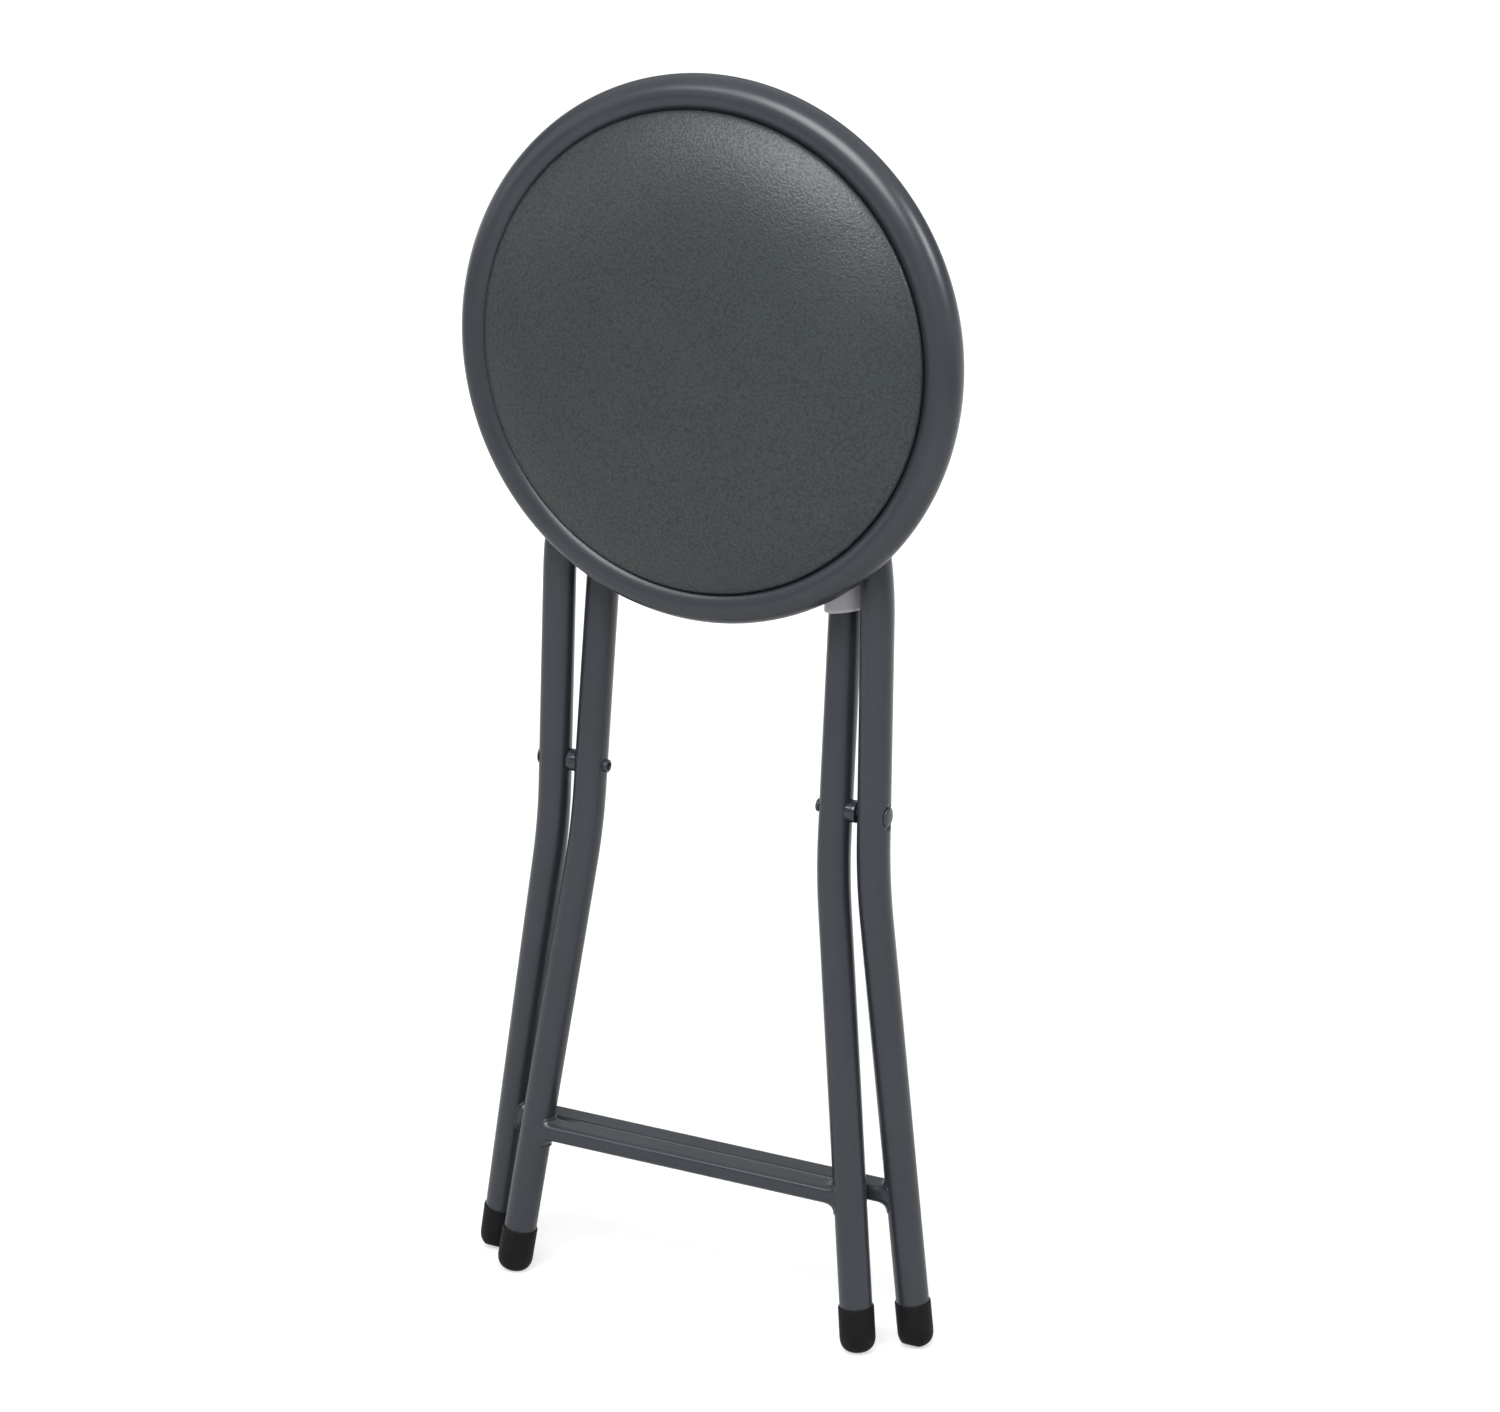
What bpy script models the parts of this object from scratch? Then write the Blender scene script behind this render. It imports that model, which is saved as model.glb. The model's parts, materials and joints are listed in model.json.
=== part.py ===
"""Folding stool, stored folded: two crossed tube frames on a riveted pivot, with a padded
round seat that is hinged on the outer frame's top bar and hooks onto the inner frame's top bar.

Metres, +Z up, +X to the stool's right, -Y towards whoever faces the pad of the folded stool.
The frames are drawn upright about the pivot axis and the seat is drawn flat about its hinge
axis; empties on those axes then turn them to the folded pose.
"""

import math

import bmesh
import bpy
import numpy as np
from mathutils import Matrix, Vector

MM = 0.001

# Driving dimensions
TOUCH = 0.3 * MM  # gap left between pieces that touch

TUBE_D = 19.0 * MM  # frame tube
TUBE_WALL = 1.2 * MM
INNER_HALF_WIDTH = 77.2 * MM  # mid plane to the inner leg's axis, at the pivot
INNER_SPLAY = math.radians(7.1)  # lower legs against the mid plane
OUTER_SPLAY = math.radians(7.6)
UPPER_TAPER = math.radians(0.9)  # legs above the pivot lean in by this
SPLAY_START = 15.0 * MM  # below the pivot
SPLAY_BEND_R = 400.0 * MM
TOP_BEND_R = 34.0 * MM
OUTER_EASE = math.radians(9.0)  # the outer legs turn in this much ahead of the top bend
INNER_EASE = 0.0
EASE_R = 250.0 * MM
TUBE_DROP = 302.9 * MM  # pivot down to the tube's end
OPEN_HALF_ANGLE = math.radians(31.0)  # each frame against the vertical, in use

SPACER_D = 12.0 * MM
SPACER_T = 4.0 * MM
PIVOT_PLAY = 0.15 * MM  # each side of the spacer
RIVET_D = 6.0 * MM
RIVET_HEAD_D = 11.6 * MM
RIVET_HEAD_T = 1.4 * MM
HEAD_FLAT = 2.2 * MM  # the outer tube is pressed in this deep under the head
HEAD_FLAT_HALF = 6.5 * MM  # along the leg
HEAD_FLAT_RUN = 4.0 * MM
RIVET_ROLL_D = 7.6 * MM  # rolled end inside the inner leg
RIVET_ROLL_T = 2.0 * MM
RIVET_BORE_D = 4.0 * MM
RIVET_BORE_DEPTH = 9.0 * MM

BAR_DROP = 225.6 * MM  # pivot down to the foot bars
BAR_DEPTH = 16.0 * MM  # flattened tube, wide side up
BAR_HEIGHT = 10.2 * MM
BAR_WALL = 1.0 * MM
BAR_ROUNDNESS = 3.2  # superellipse exponent of its section
BAR_FLARE_LENGTH = 6.0 * MM  # where the bar widens into its weld
BAR_FLARE_TOP = 2.6 * MM
BAR_FLARE_BOTTOM = 5.6 * MM

FOOT_D = 20.8 * MM
FOOT_GRIP = 13.0 * MM  # skirt outside the tube
FOOT_BASE = 4.2 * MM  # tube end to the middle of the domed end
FOOT_RIM_R = 0.4 * MM
SOLE_CUT = 1.0 * MM  # flat taken off the dome where it stands on the floor

SLEEVE_WALL = 2.2 * MM
SLEEVE_DROP = 44.7 * MM  # top bar's axis down to the sleeve's cut ends
SLEEVE_CHAMFER = 1.9 * MM
SLEEVE_SLANT = math.radians(11.0)  # a square cut hose bent round a corner ends at a slant

RING_OUTER_D = 302.0 * MM
RING_TUBE_D = 22.0 * MM
RING_WALL = 1.2 * MM
WEEP_HOLE_D = 4.0 * MM
HINGE_INSET = 53.3 * MM  # board's edge in to the hinge bar's axis
CATCH_INSET = 27.9 * MM  # board's far edge in to the axis of the bar that the catch holds
BOARD_T = 9.0 * MM
BOARD_DROP = 9.35 * MM  # ring's middle plane down to the board's underside
COVER_T = 0.8 * MM
COVER_TURN = 15.0 * MM  # cover turned in under the board
PAD_FIT = 0.6 * MM  # cover to the ring, at the board's edge
PAD_GAP = 0.4 * MM  # cover to the ring, where the pad swells over it
PAD_LIP = math.radians(120.0)  # how far round the ring's tube the pad swells
PAD_CROWN = 23.0 * MM  # above its rim
PAD_FLATNESS = 4.0  # power of the crown's curve

SCREW_D = 3.5 * MM
SCREW_LENGTH = 9.0 * MM
SCREW_HEAD_D = 7.2 * MM
SCREW_HEAD_T = 2.3 * MM

TAB_T = 2.0 * MM  # four tabs welded under the ring carry the board
TAB_WIDTH = 18.0 * MM
TAB_ANGLES = [math.radians(a) for a in (25.0, 155.0, 205.0, 335.0)]
TAB_CLEAR = 1.8 * MM  # turned-in edge of the cover to where the tab steps down
TAB_SCREW_IN = 9.5 * MM  # in from that step
TAB_END_IN = 16.5 * MM
TAB_STEP_LENGTH = 4.0 * MM
TAB_OVERLAP = 1.5 * MM  # past the ring tube's lowest line

STRAP_T = 1.5 * MM  # saddle straps that hold the outer top bar
STRAP_WIDTH = 18.0 * MM
STRAP_X = 36.0 * MM
STRAP_FLANGE = 15.0 * MM
STRAP_FIT = 0.3 * MM

CATCH_T = 2.0 * MM  # pressed bracket that drops over the inner top bar
CATCH_WIDTH = 44.0 * MM
CATCH_FIT = 0.3 * MM
CATCH_LIP = 5.2 * MM  # metal round the notch
CATCH_NEAR = math.radians(146.0)  # notch runs between these, round the bar
CATCH_FAR = math.radians(-26.0)
CATCH_BASE_NEAR = 30.0 * MM  # base plate, either side of the bar
CATCH_BASE_FAR = 6.0 * MM
CATCH_WALL_NEAR = 18.0 * MM
CATCH_SCREW_X = 11.0 * MM
CATCH_SCREW_BACK = 23.0 * MM

TUBE_SIDES = 16
BEND_STEPS = 8
SPLAY_STEPS = 4
EASE_STEPS = 3
SEAT_STEPS = 44
RING_BORE_SIDES = 8
ROUND_STEPS = 12
DOME_STEPS = 6
CROWN_STEPS = 7
SWELL_STEPS = 3

# Derived sizes
TUBE_R = TUBE_D / 2
OUTER_HALF_WIDTH = INNER_HALF_WIDTH + TUBE_D + SPACER_T + 2 * PIVOT_PLAY
FOOT_R = FOOT_D / 2
SLEEVE_R = TUBE_R + TOUCH + SLEEVE_WALL
RING_TUBE_R = RING_TUBE_D / 2
RING_R = RING_OUTER_D / 2 - RING_TUBE_R
BOARD_R = RING_R - RING_TUBE_R - PAD_FIT - COVER_T - TOUCH
COVER_END_R = BOARD_R - COVER_TURN
TAB_STEP_R = COVER_END_R - TAB_CLEAR
SEAT_SETBACK = BOARD_R - HINGE_INSET  # hinge axis to the seat's centre

# In use the two top bars lie under the board, this far apart, and that sets how far they rise
BAR_SPREAD = 2 * BOARD_R - HINGE_INSET - CATCH_INSET
OUTER_RISE = (BAR_SPREAD / math.sin(OPEN_HALF_ANGLE) + OUTER_HALF_WIDTH - INNER_HALF_WIDTH) / 2
INNER_RISE = OUTER_RISE - (OUTER_HALF_WIDTH - INNER_HALF_WIDTH)
SLEEVE_END_RISE = INNER_RISE - SLEEVE_DROP

HINGE_DEPTH = BOARD_DROP + TOUCH + COVER_T + TUBE_R  # ring's middle plane to the hinge axis
SCREW_HOLE_R = SCREW_D / 2 + TOUCH
UNDER_BOARD = -BOARD_DROP - TOUCH  # top face of what is screwed under the board

# Folded, the inner legs lie against the outer foot bar
FOLD_ANGLE = math.asin((TUBE_R + BAR_DEPTH / 2 + TOUCH) / BAR_DROP)


def material(name, colour, roughness, metallic=0.0):
    made = bpy.data.materials.new(name)
    made.use_nodes = True
    shader = made.node_tree.nodes["Principled BSDF"]
    shader.inputs["Base Color"].default_value = (*colour, 1.0)
    shader.inputs["Roughness"].default_value = roughness
    shader.inputs["Metallic"].default_value = metallic
    return made


def empty(name, parent=None, location=(0.0, 0.0, 0.0), turn_x=0.0):
    made = bpy.data.objects.new(name, None)
    bpy.context.scene.collection.objects.link(made)
    made.parent = parent
    made.location = location
    made.rotation_euler.x = turn_x
    return made


def add_object(name, mesh, finish, parent, location=(0.0, 0.0, 0.0), turn_z=0.0):
    made = bpy.data.objects.new(name, mesh)
    bpy.context.scene.collection.objects.link(made)
    if finish and not mesh.materials:
        mesh.materials.append(finish)
    made.parent = parent
    made.location = location
    made.rotation_euler.z = turn_z
    return made


def mesh_of(name, bm):
    """Mesh with outward faces, smooth but for edges sharper than 40 degrees."""
    if bm.calc_volume(signed=True) < 0:
        bmesh.ops.reverse_faces(bm, faces=bm.faces)
    mesh = bpy.data.meshes.new(name)
    bm.to_mesh(mesh)
    bm.free()
    mesh.shade_smooth()
    mesh.set_sharp_from_angle(angle=math.radians(40.0))
    return mesh


def cut(target, name, bm, parent, operation="DIFFERENCE"):
    """Boolean on target with a hidden helper made from bm."""
    helper = add_object(name, mesh_of(name, bm), None, parent)
    helper.hide_render = True
    helper.display_type = "WIRE"
    modifier = target.modifiers.new(name, "BOOLEAN")
    modifier.operation = operation
    modifier.solver = "EXACT"
    modifier.object = helper


def lathe(profile, steps):
    """Profile of (radius, height) turned about Z. Its ends lie on the axis or meet."""
    bm = bmesh.new()
    points = [bm.verts.new((radius, 0.0, height)) for radius, height in profile]
    edges = [bm.edges.new(pair) for pair in zip(points, points[1:])]
    bmesh.ops.spin(
        bm, geom=points + edges, cent=(0, 0, 0), axis=(0, 0, 1), angle=2 * math.pi, steps=steps, use_merge=True
    )
    bmesh.ops.remove_doubles(bm, verts=bm.verts, dist=0.001 * MM)
    bmesh.ops.recalc_face_normals(bm, faces=bm.faces)
    return bm


def rod(radius, start, end, steps=ROUND_STEPS):
    """Solid cylinder between two points."""
    start, end = Vector(start), Vector(end)
    bm = bmesh.new()
    bmesh.ops.create_cone(
        bm, cap_ends=True, segments=steps, radius1=radius, radius2=radius, depth=(end - start).length
    )
    turn = Vector((0, 0, 1)).rotation_difference(end - start).to_matrix().to_4x4()
    bmesh.ops.transform(bm, matrix=Matrix.Translation((start + end) / 2) @ turn, verts=bm.verts)
    return bm


def joined(parts):
    """One bmesh holding several separate ones."""
    whole = bmesh.new()
    for part in parts:
        held = bpy.data.meshes.new("held")
        part.to_mesh(held)
        part.free()
        whole.from_mesh(held)
        bpy.data.meshes.remove(held)
    return whole


def skin(bm, rings, closed):
    """Quads between successive rings of points; returns the rings of vertices."""
    rows = [[bm.verts.new(point) for point in ring] for ring in rings]
    following = rows[1:] + rows[:1] if closed else rows[1:]
    for row, after in zip(rows, following):
        for i, corner in enumerate(row):
            j = (i + 1) % len(row)
            bm.faces.new((corner, row[j], after[j], after[i]))
    return rows


def hollow(outer, inner, closed=False):
    """Tube wall between outer rings and inner rings, with a rim at each open end."""
    bm = bmesh.new()
    outside = skin(bm, outer, closed)
    inside = skin(bm, [ring[::-1] for ring in inner], closed)
    if not closed:
        for end in (0, -1):
            rim = outside[end]
            bore = inside[end][::-1]
            for i, corner in enumerate(rim):
                j = (i + 1) % len(rim)
                face = (corner, bore[i], bore[j], rim[j])
                bm.faces.new(face if end == 0 else face[::-1])
    return bm


def extruded(outline, x_start, x_end):
    """Outline of (y, z) points carried along X."""
    bm = bmesh.new()
    face = bm.faces.new([bm.verts.new((x_start, y, z)) for y, z in outline])
    grown = bmesh.ops.extrude_face_region(bm, geom=[face])
    moved = [item for item in grown["geom"] if isinstance(item, bmesh.types.BMVert)]
    bmesh.ops.translate(bm, verts=moved, vec=(x_end - x_start, 0, 0))
    bmesh.ops.recalc_face_normals(bm, faces=bm.faces)
    return bm


def offset_line(line, distance):
    """Bent line moved to its left side by an even distance."""
    line = np.array(line)
    steps = np.diff(line, axis=0)
    steps /= np.linalg.norm(steps, axis=1)[:, None]
    sides = np.stack([-steps[:, 1], steps[:, 0]], axis=1)
    mitres = np.vstack([sides[:1], sides[:-1] + sides[1:], sides[-1:]])
    mitres /= np.linalg.norm(mitres, axis=1)[:, None]
    nearest = np.vstack([sides, sides[-1:]])
    reach = distance / np.sum(mitres * nearest, axis=1)
    return line + mitres * reach[:, None]


def strip(line, thickness):
    """Outline of a bent strip of even thickness about a line of points."""
    return np.vstack([offset_line(line, thickness / 2), offset_line(line, -thickness / 2)[::-1]])


def arc(centre, radius, start, end, steps):
    """Points round an arc in a plane."""
    turn = np.linspace(start, end, steps + 1)
    return np.stack([centre[0] + radius * np.cos(turn), centre[1] + radius * np.sin(turn)], axis=1)


# Leg frames: each is one bent tube, drawn upright in the XZ plane with the pivot at the origin


def swept(start, radius, turn_from, turn_to, steps):
    """Points from start round an arc that turns the leg's lean from one angle to another."""
    lean = np.linspace(turn_from, turn_to, steps + 1)
    sweep = np.stack([np.cos(lean) - math.cos(turn_from), np.sin(lean) - math.sin(turn_from)], axis=1)
    return start + radius * sweep


def leg_marks(half_width, rise, splay, ease):
    """Right leg's axis as (x, z): tube end, splay bend, top bends; then the lower leg's direction."""
    up = np.array([-math.sin(UPPER_TAPER), math.cos(UPPER_TAPER)])
    pivot = np.array([half_width, 0.0])
    lean = np.linspace(UPPER_TAPER, splay, SPLAY_STEPS + 1)
    drop = np.stack([math.cos(UPPER_TAPER) - np.cos(lean), math.sin(UPPER_TAPER) - np.sin(lean)], axis=1)
    splay_bend = pivot - SPLAY_START * up + SPLAY_BEND_R * drop
    down = np.array([math.sin(splay), -math.cos(splay)])
    end = splay_bend[-1] + down * (TUBE_DROP + splay_bend[-1][1]) / math.cos(splay)
    bend_lean = UPPER_TAPER + ease
    eased = EASE_R * (math.sin(bend_lean) - math.sin(UPPER_TAPER))
    bent = TOP_BEND_R * (1 - math.sin(bend_lean))
    top = pivot + up * (rise - eased - bent) / math.cos(UPPER_TAPER)
    bends = [top[None]]
    if ease > 0:
        bends.append(swept(bends[-1][-1], EASE_R, UPPER_TAPER, bend_lean, EASE_STEPS)[1:])
    bends.append(swept(bends[-1][-1], TOP_BEND_R, bend_lean, math.pi / 2, BEND_STEPS)[1:])
    return end, splay_bend[::-1], np.vstack(bends), down


def on_upper_leg(half_width, rises):
    """Points of the leg's axis at heights above the pivot, below its top bends."""
    rises = np.array(rises)
    return np.stack([half_width - math.tan(UPPER_TAPER) * rises, rises], axis=1)


def mirrored(half):
    """Right half of a path followed by its mirror image."""
    return np.vstack([half, half[::-1] * np.array([-1.0, 1.0])])


def path_rings(path, radii, slants=None, limits=None):
    """Rings of points round a path in the XZ plane.

    A slant shears a ring along the path, and a limit presses its outward side flat.
    """
    steps = np.diff(path, axis=0)
    steps /= np.linalg.norm(steps, axis=1)[:, None]
    along = np.vstack([steps[:1], steps[:-1] + steps[1:], steps[-1:]])
    along /= np.linalg.norm(along, axis=1)[:, None]
    slants = np.zeros(len(path)) if slants is None else slants
    limits = radii if limits is None else limits
    turn = np.arange(TUBE_SIDES) * 2 * math.pi / TUBE_SIDES
    rings = []
    for point, way, radius, slant, limit in zip(path, along, radii, slants, limits):
        across = np.minimum(radius * np.cos(turn), limit)
        x = point[0] + across * way[1] + across * slant * way[0]
        z = point[1] - across * way[0] + across * slant * way[1]
        rings.append(np.stack([x, radius * np.sin(turn), z], axis=1))
    return rings


def build_frame(name, sizes, flat, finish, parent):
    """One bent tube; flat is how deep it is pressed in under a rivet's head."""
    half_width = sizes[0]
    end, splay_bend, top_bend, _ = leg_marks(*sizes)
    half = np.vstack([end, splay_bend, top_bend])
    pressed = np.zeros(len(half))
    if flat > 0:
        ends = HEAD_FLAT_HALF + HEAD_FLAT_RUN
        marks = on_upper_leg(half_width, [-ends, -HEAD_FLAT_HALF, HEAD_FLAT_HALF, ends])
        place = 1 + len(splay_bend)
        half = np.insert(half, place, marks, axis=0)
        pressed = np.insert(pressed, place, [0.0, flat, flat, 0.0])
    path = mirrored(half)
    pressed = np.concatenate([pressed, pressed[::-1]])
    walls = []
    for radius in (TUBE_R, TUBE_R - TUBE_WALL):
        walls.append(path_rings(path, np.full(len(path), radius), limits=radius - pressed))
    frame = add_object(name, mesh_of(name, hollow(*walls)), finish, parent)
    reach = half_width + TUBE_D
    drill = rod(RIVET_D / 2 + TOUCH, (-reach, 0, 0), (reach, 0, 0))
    cut(frame, name + ".rivet_holes", drill, parent)


def bar_section(half_height_top, half_height_bottom, half_depth):
    """Superellipse in (y, z), its upper and lower halves set apart."""
    turn = np.arange(TUBE_SIDES) * 2 * math.pi / TUBE_SIDES
    power = 2 / BAR_ROUNDNESS
    y = half_depth * np.sign(np.cos(turn)) * np.abs(np.cos(turn)) ** power
    rise = np.sign(np.sin(turn)) * np.abs(np.sin(turn)) ** power
    return y, np.where(rise > 0, rise * half_height_top, rise * half_height_bottom)


def build_crossbar(name, sizes, finish, parent):
    """Flattened tube between the lower legs, widened into its welds and coped to the tubes."""
    end, _, _, down = leg_marks(*sizes)
    leg_x = end[0] + down[0] / down[1] * (TUBE_DROP - BAR_DROP)
    weld_x = leg_x - TUBE_R
    growth = np.linspace(0.0, 1.0, 4)
    stations = [(0.0, 0.0)]
    for grown in growth:
        stations.append((weld_x - BAR_FLARE_LENGTH * (1 - grown), 1 - math.sqrt(1 - grown**2)))
    stations.append((leg_x, 1.0))
    stations = [(-x, flare) for x, flare in stations[:0:-1]] + stations
    walls = []
    for inset in (0.0, BAR_WALL):
        rings = []
        for x, flare in stations:
            top = BAR_HEIGHT / 2 + BAR_FLARE_TOP * flare - inset
            bottom = BAR_HEIGHT / 2 + BAR_FLARE_BOTTOM * flare - inset
            y, z = bar_section(top, bottom, BAR_DEPTH / 2 - inset)
            rings.append(np.stack([np.full(TUBE_SIDES, x), y, z - BAR_DROP], axis=1))
        walls.append(rings)
    bar = add_object(name, mesh_of(name, hollow(*walls)), finish, parent)
    reach = 3 * TUBE_D
    legs = []
    for side in (-1, 1):
        middle = Vector((side * leg_x, 0, -BAR_DROP))
        way = Vector((side * down[0], 0, down[1])) * reach
        legs.append(rod(TUBE_R + TOUCH, middle - way, middle + way, 2 * TUBE_SIDES))
    cut(bar, name + ".copes", joined(legs), parent)


def build_foot(name, side, lean, sizes, finish, parent):
    """Domed cap over the tube's end, with a flat that lies on the floor when the stool is open."""
    end, _, _, down = leg_marks(*sizes)
    socket_r = TUBE_R + TOUCH
    dome = [(FOOT_R * x, -FOOT_R * z) for x, z in arc((0, 0), 1.0, math.pi / 2, 0.0, DOME_STEPS)]
    dome[0] = (0.0, -FOOT_R)
    rim = FOOT_BASE + FOOT_GRIP
    skirt = [(FOOT_R, rim - FOOT_RIM_R), (FOOT_R - FOOT_RIM_R, rim), (socket_r, rim), (socket_r, FOOT_BASE - TOUCH)]
    bm = lathe([*dome, *skirt, (0.0, FOOT_BASE - TOUCH)], TUBE_SIDES)
    way = Vector((side * down[0], 0, down[1]))
    middle = Vector((side * end[0], 0, end[1])) + FOOT_BASE * way
    turn = Matrix.Rotation(side * math.atan2(down[0], -down[1]), 4, "Y").inverted()
    bmesh.ops.transform(bm, matrix=Matrix.Translation(middle) @ turn, verts=bm.verts)
    foot = add_object(name, mesh_of(name, bm), finish, parent)
    floor = Vector((0, -math.sin(lean), -math.cos(lean)))
    half = 2 * FOOT_R
    block = bmesh.new()
    bmesh.ops.create_cube(block, size=2 * half)
    tilt = Matrix.Rotation(-lean, 4, "X")
    place = Matrix.Translation(middle + floor * (FOOT_R - SOLE_CUT + half)) @ tilt
    bmesh.ops.transform(block, matrix=place, verts=block.verts)
    cut(foot, name + ".sole", block, parent)


def build_sleeve(name, sizes, finish, parent):
    """Plastic hose over the inner frame's top bar and bends."""
    _, _, top_bend, _ = leg_marks(*sizes)
    ends = on_upper_leg(sizes[0], [SLEEVE_END_RISE, SLEEVE_END_RISE + SLEEVE_CHAMFER])
    path = mirrored(np.vstack([ends, top_bend]))
    radii = np.full(len(path), SLEEVE_R)
    radii[[0, -1]] -= SLEEVE_CHAMFER
    slants = np.zeros(len(path))
    slants[:2] = math.tan(SLEEVE_SLANT)
    slants[-2:] = -math.tan(SLEEVE_SLANT)
    outer = path_rings(path, radii, slants)
    inner = path_rings(path, np.full(len(path), TUBE_R + TOUCH), slants)
    add_object(name, mesh_of(name, hollow(outer, inner)), finish, parent)


# Pivot: a rivet each side, and a spacer that saddles the inner leg


def build_rivet(name, side, finish, parent):
    head_seat = OUTER_HALF_WIDTH + TUBE_R - HEAD_FLAT + TOUCH
    roll_seat = INNER_HALF_WIDTH - TUBE_R - TOUCH
    tail = roll_seat - RIVET_ROLL_T
    dome = arc((0, 0), 1.0, math.pi / 2, 0.0, 4)
    profile = [(RIVET_HEAD_D / 2 * x, head_seat + RIVET_HEAD_T * z) for x, z in dome]
    profile[0] = (0.0, head_seat + RIVET_HEAD_T)
    profile += [(RIVET_D / 2, head_seat), (RIVET_D / 2, roll_seat), (RIVET_ROLL_D / 2, roll_seat - RIVET_ROLL_T / 4)]
    profile += [(RIVET_ROLL_D / 2, tail + RIVET_ROLL_T / 4), (RIVET_BORE_D / 2 + RIVET_ROLL_T / 4, tail)]
    profile += [(RIVET_BORE_D / 2, tail + RIVET_ROLL_T / 2), (RIVET_BORE_D / 2, tail + RIVET_BORE_DEPTH)]
    profile += [(0.0, tail + RIVET_BORE_DEPTH)]
    bm = lathe(profile, ROUND_STEPS)
    bmesh.ops.transform(bm, matrix=Matrix.Rotation(side * math.pi / 2, 4, "Y"), verts=bm.verts)
    add_object(name, mesh_of(name, bm), finish, parent)


def build_spacer(name, side, finish, parent):
    """Flat towards the outer leg, hollowed towards the inner leg."""
    start = INNER_HALF_WIDTH + TUBE_R / 2
    end = INNER_HALF_WIDTH + TUBE_R + PIVOT_PLAY + SPACER_T
    bore_r = RIVET_D / 2 + TOUCH
    outer_r = SPACER_D / 2
    edge = [(bore_r, start), (outer_r, start), (outer_r, end - TOUCH), (outer_r - TOUCH, end), (bore_r, end)]
    bm = lathe(edge + edge[:1], TUBE_SIDES)
    bmesh.ops.transform(bm, matrix=Matrix.Rotation(side * math.pi / 2, 4, "Y"), verts=bm.verts)
    spacer = add_object(name, mesh_of(name, bm), finish, parent)
    (low_x, low_z), (high_x, high_z) = on_upper_leg(INNER_HALF_WIDTH, [-TUBE_D, TUBE_D])
    leg = rod(TUBE_R + PIVOT_PLAY, (side * low_x, 0, low_z), (side * high_x, 0, high_z), 4 * TUBE_SIDES)
    cut(spacer, name + ".saddle", leg, parent)


# Seat: drawn flat, with its hinge axis along X at the origin and the ring's middle plane above it


def seat_point(x, y, z):
    """Point given from the ring's centre."""
    return (x, y + SEAT_SETBACK, z + HINGE_DEPTH)


def in_seat(bm):
    bmesh.ops.translate(bm, verts=bm.verts, vec=seat_point(0, 0, 0))
    return bm


def build_ring(finish, parent):
    """Round tube bent to a hoop, with a weep hole underneath."""
    turn = np.arange(SEAT_STEPS) * 2 * math.pi / SEAT_STEPS
    walls = []
    for radius, sides in ((RING_TUBE_R, TUBE_SIDES), (RING_TUBE_R - RING_WALL, RING_BORE_SIDES)):
        section = np.arange(sides) * 2 * math.pi / sides
        reach = RING_R + radius * np.cos(section)
        rise = radius * np.sin(section)
        walls.append([np.stack([reach * math.cos(t), reach * math.sin(t), rise], axis=1) for t in turn])
    ring = add_object("seat_ring", mesh_of("seat_ring", in_seat(hollow(*walls, closed=True))), finish, parent)
    hole = rod(WEEP_HOLE_D / 2, (0, RING_R, -RING_TUBE_D), (0, RING_R, -RING_TUBE_R / 2))
    cut(ring, "seat_ring.weep_hole", in_seat(hole), parent)


def pad_profile(inset):
    """Pad's outline as (radius, height), moved in: crown, rim, the swell over the ring, the board's edge."""
    swell = arc((RING_R, 0.0), RING_TUBE_R + PAD_GAP, PAD_LIP, math.pi, SWELL_STEPS)
    rim_r, rim_z = swell[0]
    out = np.sin(np.linspace(0.0, math.pi / 2, CROWN_STEPS + 1))
    out[-2] = (1 + out[-3]) / 2
    crown = np.stack([rim_r * out, rim_z + PAD_CROWN * (1 - out**PAD_FLATNESS)], axis=1)
    profile = offset_line(np.vstack([crown, swell[1:]]), -inset)
    profile[0] = (0.0, rim_z + PAD_CROWN - inset)
    profile[-1] = (BOARD_R + TOUCH + COVER_T - inset, 0.0)
    return profile


def build_pad(cover_finish, foam_finish, board_finish, parent):
    edge_r = BOARD_R + TOUCH
    under = [(edge_r + COVER_T, UNDER_BOARD), (edge_r, UNDER_BOARD - COVER_T), (COVER_END_R, UNDER_BOARD - COVER_T)]
    inside = [(COVER_END_R, UNDER_BOARD), (edge_r, UNDER_BOARD)]
    profile = [*pad_profile(0.0), *under, *inside, *pad_profile(COVER_T)[::-1]]
    cover = in_seat(lathe(profile, SEAT_STEPS))
    add_object("seat_cover", mesh_of("seat_cover", cover), cover_finish, parent)

    top = -BOARD_DROP + BOARD_T
    foam_edge = pad_profile(COVER_T + TOUCH)
    foam_edge = [tuple(point) for point in foam_edge if point[1] > top + 2 * TOUCH]
    foam_base = (edge_r - 2 * TOUCH, top + TOUCH)
    foam = in_seat(lathe([*foam_edge, foam_base, (0.0, top + TOUCH)], SEAT_STEPS))
    add_object("seat_foam", mesh_of("seat_foam", foam), foam_finish, parent)

    disc = [(0.0, top), (BOARD_R - TOUCH, top), (BOARD_R, top - TOUCH), (BOARD_R, -BOARD_DROP), (0.0, -BOARD_DROP)]
    board = in_seat(lathe(disc, SEAT_STEPS))
    return add_object("seat_board", mesh_of("seat_board", board), board_finish, parent)


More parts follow.
